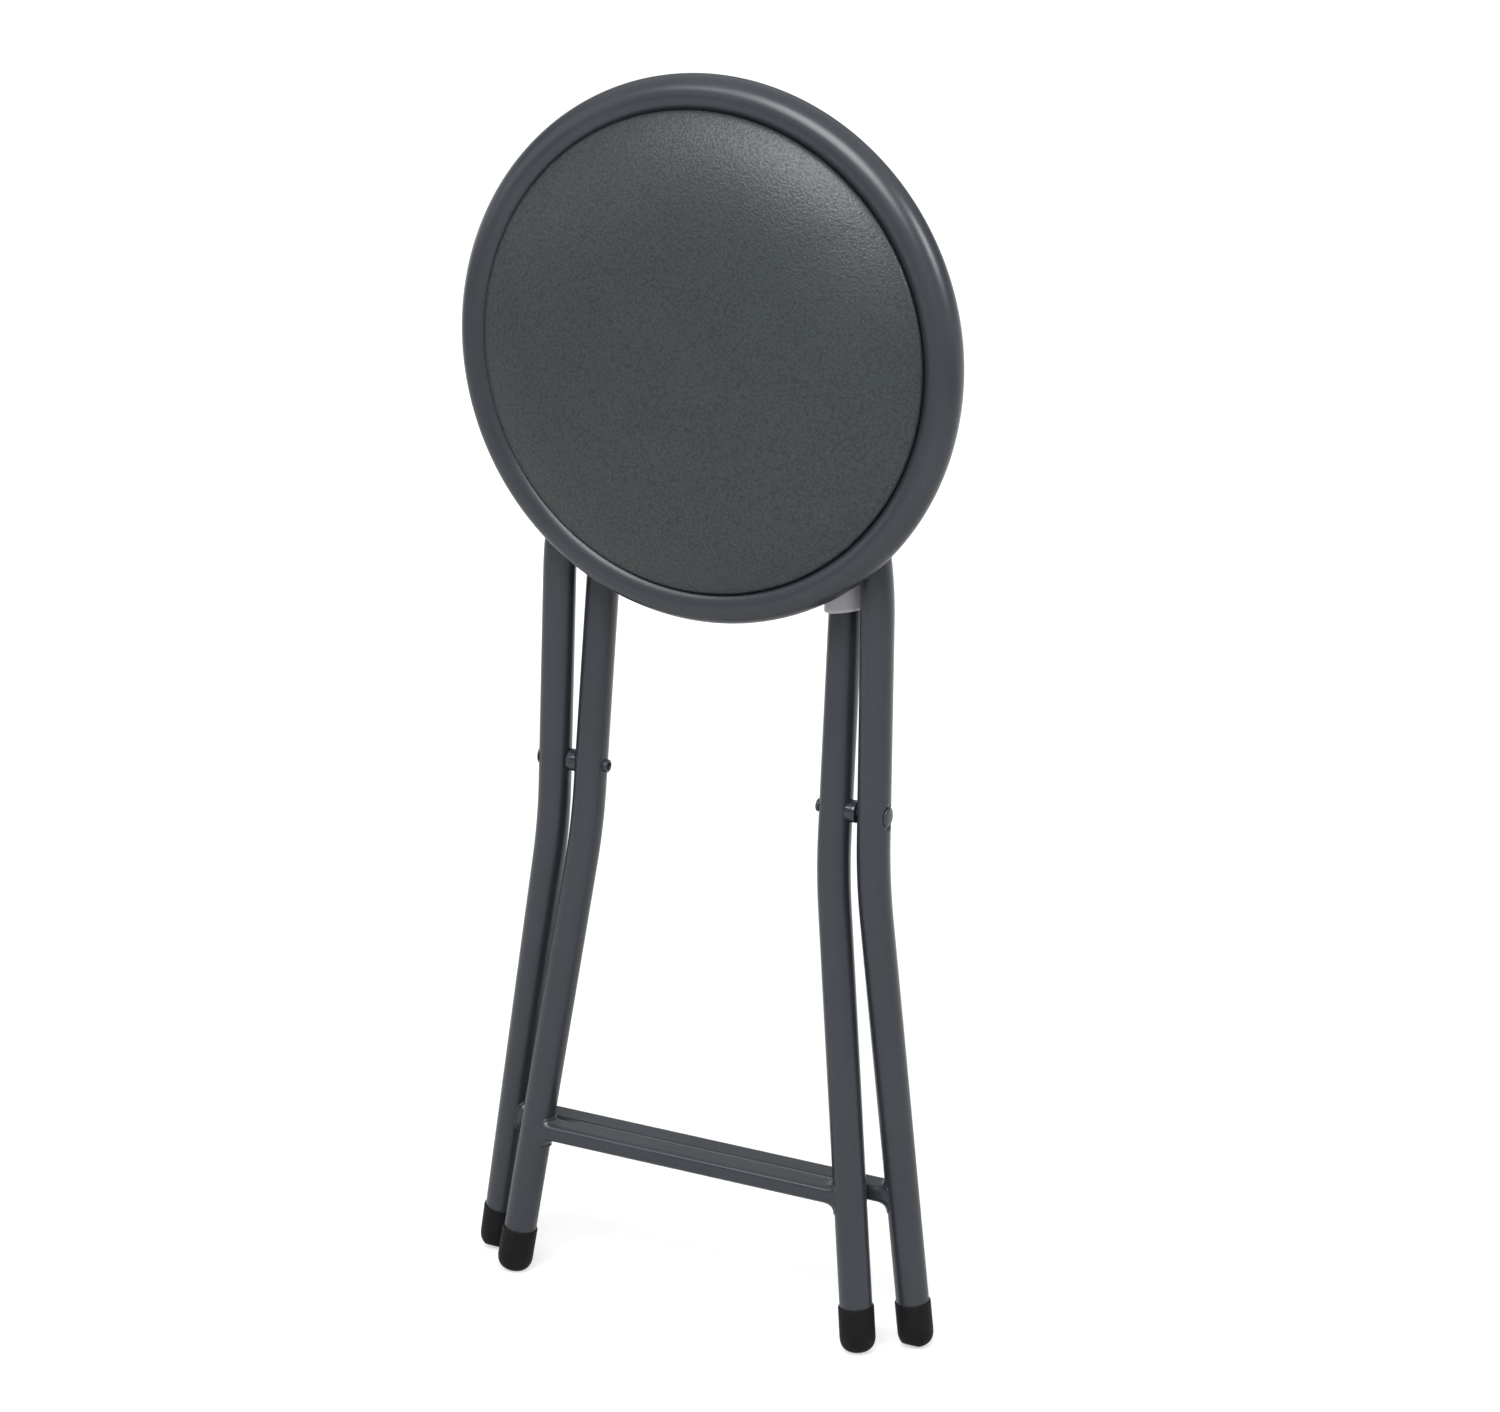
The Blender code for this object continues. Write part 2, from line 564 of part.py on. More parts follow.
def screw_mesh(finish):
    """Pan head wood screw, its seat at the origin and its shank up."""
    head = [(SCREW_HEAD_D / 2 * x, -SCREW_HEAD_T * z) for x, z in arc((0, 0), 1.0, math.pi / 2, 0.0, 3)]
    head[0] = (0.0, -SCREW_HEAD_T)
    point = SCREW_LENGTH - SCREW_D
    shank = [(SCREW_D / 2, 0.0), (SCREW_D / 2, point), (0.0, SCREW_LENGTH)]
    mesh = mesh_of("screw", lathe(head + shank, ROUND_STEPS))
    mesh.materials.append(finish)
    return mesh


def screw_hole(place):
    """Cutter for one screw, from under its plate to near the board's top."""
    x, y, z = place
    return rod(SCREW_HOLE_R, (x, y, z - SCREW_HEAD_T), (x, y, z + SCREW_LENGTH + TOUCH))


def build_tabs(ring_finish, parent):
    """Stepped tabs that run from under the ring to the board; returns their screws' places."""
    low = -RING_TUBE_R - TOUCH - TAB_T / 2
    high = UNDER_BOARD - TAB_T / 2
    line = [
        (RING_R + TAB_OVERLAP, low),
        (TAB_STEP_R, low),
        (TAB_STEP_R - TAB_STEP_LENGTH, high),
        (TAB_STEP_R - TAB_END_IN, high),
    ]
    screw_r = TAB_STEP_R - TAB_SCREW_IN
    places = []
    for number, angle in enumerate(TAB_ANGLES, start=1):
        bm = extruded(strip(line, TAB_T), -TAB_WIDTH / 2, TAB_WIDTH / 2)
        around = Matrix.Rotation(angle - math.pi / 2, 4, "Z")
        bmesh.ops.transform(bm, matrix=around, verts=bm.verts)
        name = f"ring_tab_{number}"
        tab = add_object(name, mesh_of(name, in_seat(bm)), ring_finish, parent)
        seat = UNDER_BOARD - TAB_T - TOUCH
        place = seat_point(screw_r * math.cos(angle), screw_r * math.sin(angle), seat)
        cut(tab, name + ".screw_hole", screw_hole(place), parent)
        places.append(place)
    return places


def build_straps(finish, parent):
    """Two saddle straps round the outer top bar; returns their screws' places."""
    radius = TUBE_R + STRAP_FIT + STRAP_T / 2
    flange_z = HINGE_DEPTH + UNDER_BOARD - STRAP_T / 2
    saddle = arc((0.0, 0.0), radius, math.pi, 2 * math.pi, ROUND_STEPS)
    line = [(-radius - STRAP_FLANGE, flange_z), (-radius, flange_z), *saddle]
    line += [(radius, flange_z), (radius + STRAP_FLANGE, flange_z)]
    places = []
    for tag, x in (("left", -STRAP_X), ("right", STRAP_X)):
        name = "hinge_strap_" + tag
        bm = extruded(strip(line, STRAP_T), x - STRAP_WIDTH / 2, x + STRAP_WIDTH / 2)
        strap = add_object(name, mesh_of(name, bm), finish, parent)
        screw_y = radius + STRAP_T / 2 + (STRAP_FLANGE - STRAP_T / 2) / 2
        seat = flange_z - STRAP_T / 2 - TOUCH
        pair = [(x, -screw_y, seat), (x, screw_y, seat)]
        cut(strap, name + ".screw_holes", joined([screw_hole(place) for place in pair]), parent)
        places += pair
    return places


def build_catch(finish, parent):
    """Pressed bracket whose notched cheeks drop over the inner top bar; returns its screws' places."""
    bar = np.array([BAR_SPREAD, (INNER_RISE - OUTER_RISE) * math.cos(OPEN_HALF_ANGLE)])
    base_z = HINGE_DEPTH + UNDER_BOARD
    notch_r = SLEEVE_R + CATCH_FIT
    lip_r = notch_r + CATCH_LIP
    notch = arc(bar, notch_r, CATCH_NEAR, CATCH_FAR, ROUND_STEPS)
    far_side = arc(bar, lip_r, CATCH_FAR, math.radians(20.0), 4)
    near_corner = arc(bar, lip_r, CATCH_NEAR, CATCH_NEAR, 0)
    near_top = (bar[0] - CATCH_WALL_NEAR, base_z - CATCH_T / 2)
    far_top = (bar[0] + CATCH_BASE_FAR, base_z - CATCH_T / 2)
    cheek = [near_top, *near_corner, *notch, *far_side, far_top]
    base = [
        (bar[0] - CATCH_BASE_NEAR, base_z),
        (bar[0] + CATCH_BASE_FAR, base_z),
        (bar[0] + CATCH_BASE_FAR, base_z - CATCH_T),
        (bar[0] - CATCH_BASE_NEAR, base_z - CATCH_T),
    ]
    half = CATCH_WIDTH / 2
    catch = add_object("seat_catch", mesh_of("seat_catch", extruded(base, -half, half)), finish, parent)
    for tag, start in (("left", -half + TOUCH), ("right", half - CATCH_T - TOUCH)):
        wall = extruded(cheek, start, start + CATCH_T)
        cut(catch, "seat_catch.cheek_" + tag, wall, parent, operation="UNION")
    seat = base_z - CATCH_T - TOUCH
    places = [(side * CATCH_SCREW_X, bar[0] - CATCH_SCREW_BACK, seat) for side in (-1, 1)]
    cut(catch, "seat_catch.screw_holes", joined([screw_hole(place) for place in places]), parent)
    return places


def build_seat(finishes, parent):
    build_ring(finishes["coat"], parent)
    board = build_pad(finishes["vinyl"], finishes["foam"], finishes["plywood"], parent)
    groups = {
        "tab_screw": build_tabs(finishes["coat"], parent),
        "strap_screw": build_straps(finishes["zinc"], parent),
        "catch_screw": build_catch(finishes["zinc"], parent),
    }
    mesh = screw_mesh(finishes["zinc"])
    for group, places in groups.items():
        for number, place in enumerate(places, start=1):
            add_object(f"{group}_{number}", mesh, None, parent, location=place)
    every = [place for places in groups.values() for place in places]
    cut(board, "seat_board.screw_holes", joined([screw_hole(place) for place in every]), parent)


def seat_lean():
    """Folded, the ring lies against the outer legs, a little way below the hinge."""
    leg_x = OUTER_HALF_WIDTH - math.tan(UPPER_TAPER) * OUTER_RISE
    reach = math.sqrt(RING_R**2 - leg_x**2) - SEAT_SETBACK
    return math.asin((RING_TUBE_R + TUBE_R + TOUCH - HINGE_DEPTH) / reach)


def stand_on_floor(root):
    """Sets the folded stool down with the middle of its box over the origin."""
    bpy.context.view_layer.update()
    graph = bpy.context.evaluated_depsgraph_get()
    clouds = []
    for obj in bpy.context.scene.objects:
        if obj.type != "MESH" or obj.hide_render:
            continue
        shape = obj.evaluated_get(graph)
        points = np.empty(len(shape.data.vertices) * 3)
        shape.data.vertices.foreach_get("co", points)
        world = np.array(shape.matrix_world)
        clouds.append(points.reshape(-1, 3) @ world[:3, :3].T + world[:3, 3])
    low = np.min([cloud.min(axis=0) for cloud in clouds], axis=0)
    high = np.max([cloud.max(axis=0) for cloud in clouds], axis=0)
    middle = (low + high) / 2
    root.location = (-middle[0], -middle[1], -low[2])
    bpy.context.view_layer.update()


def main():
    for obj in list(bpy.data.objects):
        bpy.data.objects.remove(obj, do_unlink=True)
    finishes = {
        "coat": material("powder coated steel", (0.075, 0.080, 0.093), 0.42, 0.35),
        "vinyl": material("grained vinyl", (0.066, 0.073, 0.072), 0.55),
        "foam": material("seat foam", (0.72, 0.66, 0.45), 0.95),
        "plywood": material("plywood", (0.50, 0.33, 0.17), 0.75),
        "rubber": material("black rubber", (0.016, 0.016, 0.017), 0.62),
        "sleeve": material("grey plastic hose", (0.56, 0.56, 0.60), 0.45),
        "zinc": material("zinc plated steel", (0.55, 0.56, 0.58), 0.35, 1.0),
        "nylon": material("dark nylon", (0.035, 0.036, 0.040), 0.40),
    }
    root = empty("stool")
    outer_axis = empty("outer_frame_axis", root, turn_x=FOLD_ANGLE / 2)
    inner_axis = empty("inner_frame_axis", root, turn_x=-FOLD_ANGLE / 2)
    hinge = empty("seat_axis", outer_axis, (0.0, 0.0, OUTER_RISE), math.pi / 2 - seat_lean())

    outer = (OUTER_HALF_WIDTH, OUTER_RISE, OUTER_SPLAY, OUTER_EASE)
    inner = (INNER_HALF_WIDTH, INNER_RISE, INNER_SPLAY, INNER_EASE)
    sides = (("left", -1), ("right", 1))
    frames = (("outer", outer_axis, outer, HEAD_FLAT, 1), ("inner", inner_axis, inner, 0.0, -1))
    for name, axis, sizes, flat, way in frames:
        build_frame(name + "_frame", sizes, flat, finishes["coat"], axis)
        build_crossbar(name + "_crossbar", sizes, finishes["coat"], axis)
        for tag, side in sides:
            build_foot(f"{name}_foot_{tag}", side, way * OPEN_HALF_ANGLE, sizes, finishes["rubber"], axis)
    build_sleeve("inner_sleeve", inner, finishes["sleeve"], inner_axis)
    for tag, side in sides:
        build_rivet("pivot_rivet_" + tag, side, finishes["coat"], root)
        build_spacer("pivot_spacer_" + tag, side, finishes["nylon"], inner_axis)
    build_seat(finishes, hinge)
    stand_on_floor(root)


main()
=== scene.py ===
import json
import math

import bmesh
import bpy
import numpy as np
from mathutils import Matrix, Vector


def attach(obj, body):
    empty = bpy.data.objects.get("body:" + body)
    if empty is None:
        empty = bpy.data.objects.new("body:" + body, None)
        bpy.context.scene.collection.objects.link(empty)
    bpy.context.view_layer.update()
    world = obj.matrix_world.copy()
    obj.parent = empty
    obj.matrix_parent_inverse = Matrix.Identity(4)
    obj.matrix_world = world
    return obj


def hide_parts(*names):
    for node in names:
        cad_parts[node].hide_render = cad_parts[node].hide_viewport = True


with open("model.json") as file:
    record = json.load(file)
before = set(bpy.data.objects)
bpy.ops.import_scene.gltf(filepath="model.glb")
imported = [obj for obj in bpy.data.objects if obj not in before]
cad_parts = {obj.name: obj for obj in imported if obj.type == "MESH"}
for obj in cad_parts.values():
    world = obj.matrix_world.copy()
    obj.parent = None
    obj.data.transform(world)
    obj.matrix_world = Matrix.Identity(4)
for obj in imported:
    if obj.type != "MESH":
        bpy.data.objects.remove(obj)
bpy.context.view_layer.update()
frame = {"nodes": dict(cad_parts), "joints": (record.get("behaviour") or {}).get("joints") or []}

mm = 0.001
scene = bpy.context.scene
norm = np.linalg.norm
joints = {joint["name"]: joint for joint in frame["joints"]}
pivotAt = np.array(joints["frame_fold"]["pos_m"])
hingeAt = np.array(joints["seat_tilt"]["pos_m"])
print("frame loaded:", len(frame["nodes"]), "nodes")


# small tools

def linear(hexText):  # sRGB hex to linear colour
    srgb = np.array([int(hexText[i:i + 2], 16) for i in (1, 3, 5)]) / 255
    flat = np.where(srgb <= 0.04045, srgb / 12.92, ((srgb + 0.055) / 1.055) ** 2.4)
    return (*[float(c) for c in flat], 1.0)


def feed(tree, node, feeds):  # values and links into a node's sockets; a node stands for its first output
    for socket, value in feeds.items():
        if isinstance(value, bpy.types.Node):
            value = value.outputs[0]
        if isinstance(value, bpy.types.NodeSocket):
            tree.links.new(value, node.inputs[socket])
        else:
            node.inputs[socket].default_value = value


def addNode(tree, kind, feeds=None, stops=(), **settings):  # one node with its settings, colour stops and links
    node = tree.nodes.new("ShaderNode" + kind)
    for key, value in settings.items():
        setattr(node, key, value)
    if stops:
        elements = node.color_ramp.elements
        while len(elements) < len(stops):
            elements.new(0.5)
        for element, (position, colour) in zip(elements, stops):
            element.position = position
            element.color = colour
    feed(tree, node, feeds or {})
    return node


def newMaterial(name, **sockets):  # Principled material with constants set on its own sockets
    material = bpy.data.materials.new(name)
    material.use_nodes = True
    tree = material.node_tree
    shader = tree.nodes["Principled BSDF"]
    for socket, value in sockets.items():
        shader.inputs[socket.replace("_", " ")].default_value = value
    return material, tree, shader, addNode(tree, "TexCoord").outputs["Object"]


def turnX(points, angle):  # turn points about X, as rows
    c, s = math.cos(angle), math.sin(angle)
    return np.asarray(points).reshape(-1, 3) @ np.array([[1, 0, 0], [0, c, s], [0, -s, c]])


def gridFaces(rows, columns, closeRows=False, closeColumns=False):  # quads of a rows x columns grid of points
    index = np.arange(rows * columns).reshape(rows, columns)
    if closeRows:
        index = np.vstack([index, index[:1]])
    if closeColumns:
        index = np.hstack([index, index[:, :1]])
    a, b, c, d = index[:-1, :-1], index[:-1, 1:], index[1:, 1:], index[1:, :-1]
    return np.stack([a, b, c, d], axis=-1).reshape(-1, 4)


def newPiece(name, parts, material, sharp=40.0):  # one object from (points, quads) arrays, closed and facing outward
    points, quads, start = [], [], 0
    for p, q in parts:
        points.append(np.asarray(p, float).reshape(-1, 3))
        quads.append(q + start)
        start += len(points[-1])
    mesh = bpy.data.meshes.new(name)
    mesh.from_pydata(np.vstack(points), [], np.vstack(quads))
    skin = bmesh.new()
    skin.from_mesh(mesh)
    bmesh.ops.remove_doubles(skin, verts=skin.verts, dist=1e-7)  # poles and seams
    bmesh.ops.holes_fill(skin, edges=skin.edges, sides=0)  # open ends
    bmesh.ops.recalc_face_normals(skin, faces=skin.faces)
    skin.to_mesh(mesh)
    skin.free()
    mesh.shade_smooth()
    mesh.set_sharp_from_angle(angle=math.radians(sharp))
    piece = bpy.data.objects.new(name, mesh)
    scene.collection.objects.link(piece)
    mesh.materials.append(material)
    return piece


def settle(piece, body, slot, *nodes):  # what it rides on and the CAD nodes it stands for, which it hides; the finish slot is not used
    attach(piece, body)
    if nodes:
        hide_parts(*nodes)
    return piece


def placed(put, *shapes):  # shapes of (points, quads) moved to where they belong
    return [(put(points), quads) for points, quads in shapes]


def evenAngles(count):
    return np.arange(count) * 2 * math.pi / count


def turned(profile, steps):  # profile of (radius, height) turned about Z: (r cos t, r sin t, h)
    profile = np.asarray(profile, float)
    t = evenAngles(steps)
    r, h = profile[:, :1], profile[:, 1:]
    points = np.stack([r * np.cos(t), r * np.sin(t), h + 0 * t], axis=-1)
    return points, gridFaces(len(profile), steps, closeColumns=True)


def roundedLine(corners, radii, steps=6):  # corners of a profile eased by quadratic curves of the given reach
    corners = np.asarray(corners, float)
    line = [corners[:1]]
    t = np.linspace(0, 1, steps + 1)[:, None]
    for before, corner, after, reach in zip(corners[:-2], corners[1:-1], corners[2:], radii):
        start = corner + (before - corner) / norm(before - corner) * reach
        end = corner + (after - corner) / norm(after - corner) * reach
        line.append(start * (1 - t) ** 2 + corner * 2 * t * (1 - t) + end * t ** 2)
    line.append(corners[-1:])
    return np.vstack(line)


# camera at the photograph's angle, fitted to leg edges, ring and pivots in a 1500 x 1412 image

cameraSet = {
    "lens": 4250.8 * 36 / 1500,  # focal length in pixels on a 36 mm wide sensor
    "offset": (0.9947, -2.0661, 0.7193),  # from the pivot
    "right": (0.89904, 0.43611, 0.03920),
    "down": (0.15666, -0.23675, -0.95886),
    "forward": (-0.40889, 0.86819, -0.28117),
}

camera = bpy.data.objects.new("camera", bpy.data.cameras.new("camera"))
scene.collection.objects.link(camera)
camera.data.lens = cameraSet["lens"]
camera.data.sensor_width = 36.0
camera.data.clip_start = 0.05
axes = Matrix([cameraSet["right"], [-c for c in cameraSet["down"]], [-c for c in cameraSet["forward"]]]).transposed()
camera.matrix_world = Matrix.Translation(Vector(pivotAt) + Vector(cameraSet["offset"])) @ axes.to_4x4()
bpy.context.scene.camera = camera
print("camera set")


# materials

# powder coat on steel: satin, a soft orange peel of a few millimetres, faint grit
coat, tree, shader, place = newMaterial(
    "satin grey powder coat on steel", Base_Color=linear("#2f343b"), Roughness=0.30, Specular_IOR_Level=0.5)
cloud = addNode(tree, "TexNoise", {"Vector": place, "Scale": 1 / (60 * mm), "Detail": 3.0})
tint = addNode(tree, "ValToRGB", {"Fac": cloud},
    stops=[(0.35, linear("#2d3238")), (0.65, linear("#31363c"))])
peel = addNode(tree, "TexNoise", {"Vector": place, "Scale": 1 / (2.2 * mm), "Detail": 2.0})
peelBump = addNode(tree, "Bump", {"Height": peel, "Strength": 0.25, "Distance": 0.06 * mm})
grit = addNode(tree, "TexNoise", {"Vector": place, "Scale": 1 / (0.5 * mm), "Detail": 1.0})
gritBump = addNode(tree, "Bump", {
    "Height": grit, "Strength": 0.2, "Distance": 0.012 * mm, "Normal": peelBump})
rubbed = addNode(tree, "MapRange", {
    "Value": cloud, "From Min": 0.3, "From Max": 0.7, "To Min": 0.285, "To Max": 0.33})
feed(tree, shader, {
    "Base Color": tint, "Normal": gritBump, "Roughness": rubbed})

# calendered vinyl on fabric: pressed leather grain of rounded pebbles about a millimetre wide, low sheen
# the grain is drawn at 1.3 mm, as coarse as it needs to show
vinyl, tree, shader, place = newMaterial(
    "embossed upholstery vinyl", Base_Color=linear("#303435"), Roughness=0.41, Specular_IOR_Level=0.5)
warp = addNode(tree, "TexNoise", {"Vector": place, "Scale": 1 / (4 * mm), "Detail": 2.0})
shift = addNode(tree, "VectorMath", {0: warp.outputs["Color"], "Scale": 1.2 * mm}, operation="SCALE")
bent = addNode(tree, "VectorMath", {0: place, 1: shift}, operation="ADD")
pebble = addNode(tree, "TexVoronoi", {"Vector": bent, "Scale": 1 / (1.3 * mm)}, feature="SMOOTH_F1")
fine = addNode(tree, "TexNoise", {"Vector": place, "Scale": 1 / (0.6 * mm), "Detail": 2.0})
heights = addNode(tree, "Math", {0: fine, 1: 0.35, 2: pebble},
    operation="MULTIPLY_ADD")
grain = addNode(tree, "Bump", {"Height": heights, "Strength": 1.0, "Distance": 0.16 * mm},
    invert=True)
valley = addNode(tree, "MapRange", {
    "Value": pebble, "From Min": 0.1, "From Max": 0.7, "To Min": 0.34, "To Max": 0.48})
patch = addNode(tree, "TexNoise", {"Vector": place, "Scale": 1 / (35 * mm), "Detail": 4.0})
# the tone is darker towards the pebbles' edges: painted shade in the grain's valleys, over a faint random tone from
# the patch noise
patchAndValleyShade = addNode(tree, "Math", {0: patch, 1: 0.2, 2: pebble},
    operation="MULTIPLY_ADD")
tone = addNode(tree, "ValToRGB", {"Fac": patchAndValleyShade},
    stops=[(0.25, linear("#363c3d")), (0.75, linear("#222829"))])
feed(tree, shader, {
    "Base Color": tone, "Normal": grain, "Roughness": valley})

# moulded rubber: dull black, fine sandblasted mould texture
rubber, tree, shader, place = newMaterial(
    "moulded black rubber", Base_Color=linear("#18181a"), Roughness=0.55, Specular_IOR_Level=0.12)
spark = addNode(tree, "TexNoise", {"Vector": place, "Scale": 1 / (0.7 * mm), "Detail": 3.0})
sparkBump = addNode(tree, "Bump", {"Height": spark, "Strength": 0.4, "Distance": 0.05 * mm})
dust = addNode(tree, "TexNoise", {"Vector": place, "Scale": 1 / (9 * mm), "Detail": 4.0})
dusty = addNode(tree, "ValToRGB", {"Fac": dust},
    stops=[(0.4, linear("#161618")), (0.75, linear("#1d1d1e"))])
feed(tree, shader, {"Base Color": dusty, "Normal": sparkBump})

# extruded soft PVC hose: almost white, satin, faintly mottled
hose, tree, shader, place = newMaterial(
    "extruded pale hose", Base_Color=linear("#ececf1"), Roughness=0.38, Specular_IOR_Level=0.5)
streak = addNode(tree, "TexNoise", {"Vector": place, "Scale": 1 / (3 * mm), "Detail": 2.0})
streakBump = addNode(tree, "Bump", {"Height": streak, "Strength": 0.15, "Distance": 0.05 * mm})
milky = addNode(tree, "ValToRGB", {"Fac": streak},
    stops=[(0.3, linear("#e9e9ee")), (0.7, linear("#efeff4"))])
feed(tree, shader, {"Base Color": milky, "Normal": streakBump})

# zinc plated pressed steel: bright blue grey, mottled crystals
zinc, tree, shader, place = newMaterial(
    "zinc plated pressed steel", Base_Color=linear("#b9bcc0"), Metallic=1.0, Roughness=0.34)
flake = addNode(tree, "TexVoronoi", {"Vector": place, "Scale": 1 / (2.5 * mm)})
mottle = addNode(tree, "ValToRGB", {"Fac": flake.outputs["Color"]},
    stops=[(0.0, linear("#a9acb1")), (1.0, linear("#c4c7ca"))])
matted = addNode(tree, "MapRange", {"Value": flake, "To Min": 0.28, "To Max": 0.42})
feed(tree, shader, {"Base Color": mottle, "Roughness": matted})

# moulded nylon: grey like the coat, glossy from the mould
nylon, tree, shader, place = newMaterial(
    "moulded grey nylon", Base_Color=linear("#2d3239"), Roughness=0.13, Specular_IOR_Level=0.5)
swirl = addNode(tree, "TexNoise", {"Vector": place, "Scale": 1 / (2 * mm), "Detail": 3.0})
swirlTone = addNode(tree, "ValToRGB", {"Fac": swirl},
    stops=[(0.35, linear("#2a2f36")), (0.7, linear("#31363d"))])
feed(tree, shader, {"Base Color": swirlTone})

# birch plywood, raw: pale face, long figure and short pores along the grain, which runs across the seat
plywood, tree, shader, place = newMaterial(
    "raw birch plywood", Base_Color=linear("#c8a577"), Roughness=0.7, Specular_IOR_Level=0.3)
along = addNode(tree, "Mapping", {"Vector": place, "Scale": (1.0, 9.0, 9.0)})
figure = addNode(tree, "TexNoise", {
    "Vector": along, "Scale": 1 / (90 * mm), "Detail": 5.0, "Distortion": 0.6})
streaks = addNode(tree, "Mapping", {"Vector": place, "Scale": (1.0, 22.0, 22.0)})
pore = addNode(tree, "TexNoise", {"Vector": streaks, "Scale": 1 / (20 * mm), "Detail": 2.0})
grainy = addNode(tree, "Math", {0: pore, 1: 0.6, 2: figure}, operation="MULTIPLY_ADD")
wood = addNode(tree, "ValToRGB", {"Fac": grainy},
    stops=[(0.55, linear("#a98156")), (0.7, linear("#c5a172")), (0.95, linear("#d8bb8e"))])
pores = addNode(tree, "Bump", {"Height": pore, "Strength": 0.4, "Distance": 0.15 * mm})
feed(tree, shader, {"Base Color": wood, "Normal": pores})
print("materials made")


# leg frames: tube of 19 mm carried along a bent path in the frame's own XZ plane

frameSet = {
    "tube": 19.0 * mm,
    "taper": math.radians(0.9),  # upper legs lean in
    "splayStart": 15.0 * mm, "splayRadius": 400.0 * mm,
    "topRadius": 34.0 * mm, "easeRadius": 250.0 * mm,
    "drop": 302.9 * mm,  # pivot down to the tube's end
    "lean": math.asin((9.5 + 8.0 + 0.3) / 225.6) / 2,  # each frame against the upright, folded
    "sides": 48, "fineSides": 45,
    "dimple": 1.5 * mm, "dimpleRadius": 6.3 * mm, "dimpleRun": 2.0 * mm,  # pressed in under the rivet's head
}
innerLeg = {"halfWidth": 77.2 * mm, "splay": math.radians(7.1), "rise": 156.687 * mm, "ease": 0.0}
outerLeg = {"halfWidth": 100.5 * mm, "splay": math.radians(7.6), "rise": 179.987 * mm, "ease": math.radians(9.0)}
tubeR = frameSet["tube"] / 2


def inOuter(points):
    return turnX(points, frameSet["lean"]) + pivotAt


def inInner(points):
    return turnX(points, -frameSet["lean"]) + pivotAt


frames = (("outer", outerLeg, inOuter, 1), ("inner", innerLeg, inInner, -1))  # body, leg, place, which way it opens
bothSides = (("left", -1), ("right", 1))


def bendArc(start, radius, leanFrom, leanTo, steps):
    # start + R (cos a - cos a0, sin a - sin a0), a from leanFrom to leanTo
    a = np.linspace(leanFrom, leanTo, steps + 1)[1:]
    return start + radius * np.stack([np.cos(a) - math.cos(leanFrom), np.sin(a) - math.sin(leanFrom)], axis=1)


def straight(start, end, steps):
    return start + (end - start) * np.linspace(0, 1, steps + 1)[1:, None]


def legPath(leg):  # right leg's axis from tube end to the top bar's middle, as (x, z)
    taper, splay = frameSet["taper"], leg["splay"]
    up = np.array([-math.sin(taper), math.cos(taper)])
    pivot = np.array([leg["halfWidth"], 0.0])
    a = np.linspace(splay, taper, 25)
    splayBend = pivot - frameSet["splayStart"] * up + frameSet["splayRadius"] * np.stack(
        [math.cos(taper) - np.cos(a), math.sin(taper) - np.sin(a)], axis=1)
    down = np.array([math.sin(splay), -math.cos(splay)])
    end = splayBend[0] + down * (frameSet["drop"] + splayBend[0][1]) / math.cos(splay)
    bendLean = taper + leg["ease"]
    eased = frameSet["easeRadius"] * (math.sin(bendLean) - math.sin(taper))
    bent = frameSet["topRadius"] * (1 - math.sin(bendLean))
    top = pivot + up * (leg["rise"] - eased - bent) / math.cos(taper)
    near = pivot + np.outer(np.linspace(-14, 14, 99) * mm, up)  # close rows where the tube is pressed
    parts = [end[None], straight(end, splayBend[0], 12), splayBend[1:], near, straight(near[-1], top, 6)]
    if leg["ease"] > 0:
        parts.append(bendArc(top, frameSet["easeRadius"], taper, bendLean, 16))
    parts.append(bendArc(parts[-1][-1], frameSet["topRadius"], bendLean, math.pi / 2, 28))
    parts.append(straight(parts[-1][-1], np.array([0.0, leg["rise"]]), 8))
    return np.vstack(parts), end, down


def mirroredPath(half):
    return np.vstack([half, half[-2::-1] * [-1.0, 1.0]])


def pathAxes(path):  # unit tangent and outward normal at each point of a path in the XZ plane
    step = np.diff(path, axis=0)
    step /= norm(step, axis=1)[:, None]
    way = np.vstack([step[:1], step[:-1] + step[1:], step[-1:]])
    way /= norm(way, axis=1)[:, None]
    return way, np.stack([way[:, 1], -way[:, 0]], axis=1)


def smoothStep(t):
    t = np.clip(t, 0, 1)
    return t * t * (3 - 2 * t)


def tubeAlong(path, radius, t, dimple=False, shear=None):
    # centre + r cos t * outward + r sin t * Y; the dimple limits r cos t, shear slides a section along the path
    way, outward = pathAxes(path)
    radius = np.broadcast_to(radius, len(path))[:, None]
    across = radius * np.cos(t)
    deep = radius * np.sin(t) + 0 * across
    if dimple:
        far = np.hypot(path[:, 1:], deep)  # from the rivet's axis
        limit = radius - frameSet["dimple"] * (
            1 - smoothStep((far - frameSet["dimpleRadius"]) / frameSet["dimpleRun"]))
        across = np.minimum(across, limit)
    slide = 0 if shear is None else across * shear[:, None]
    x = path[:, :1] + across * outward[:, :1] + slide * way[:, :1]
    z = path[:, 1:] + across * outward[:, 1:] + slide * way[:, 1:]
    return np.stack([x, deep, z], axis=-1)


def closedTube(rings):  # rows of a tube; its open ends are filled when it becomes a piece
    return rings, gridFaces(len(rings), rings.shape[1], closeColumns=True)


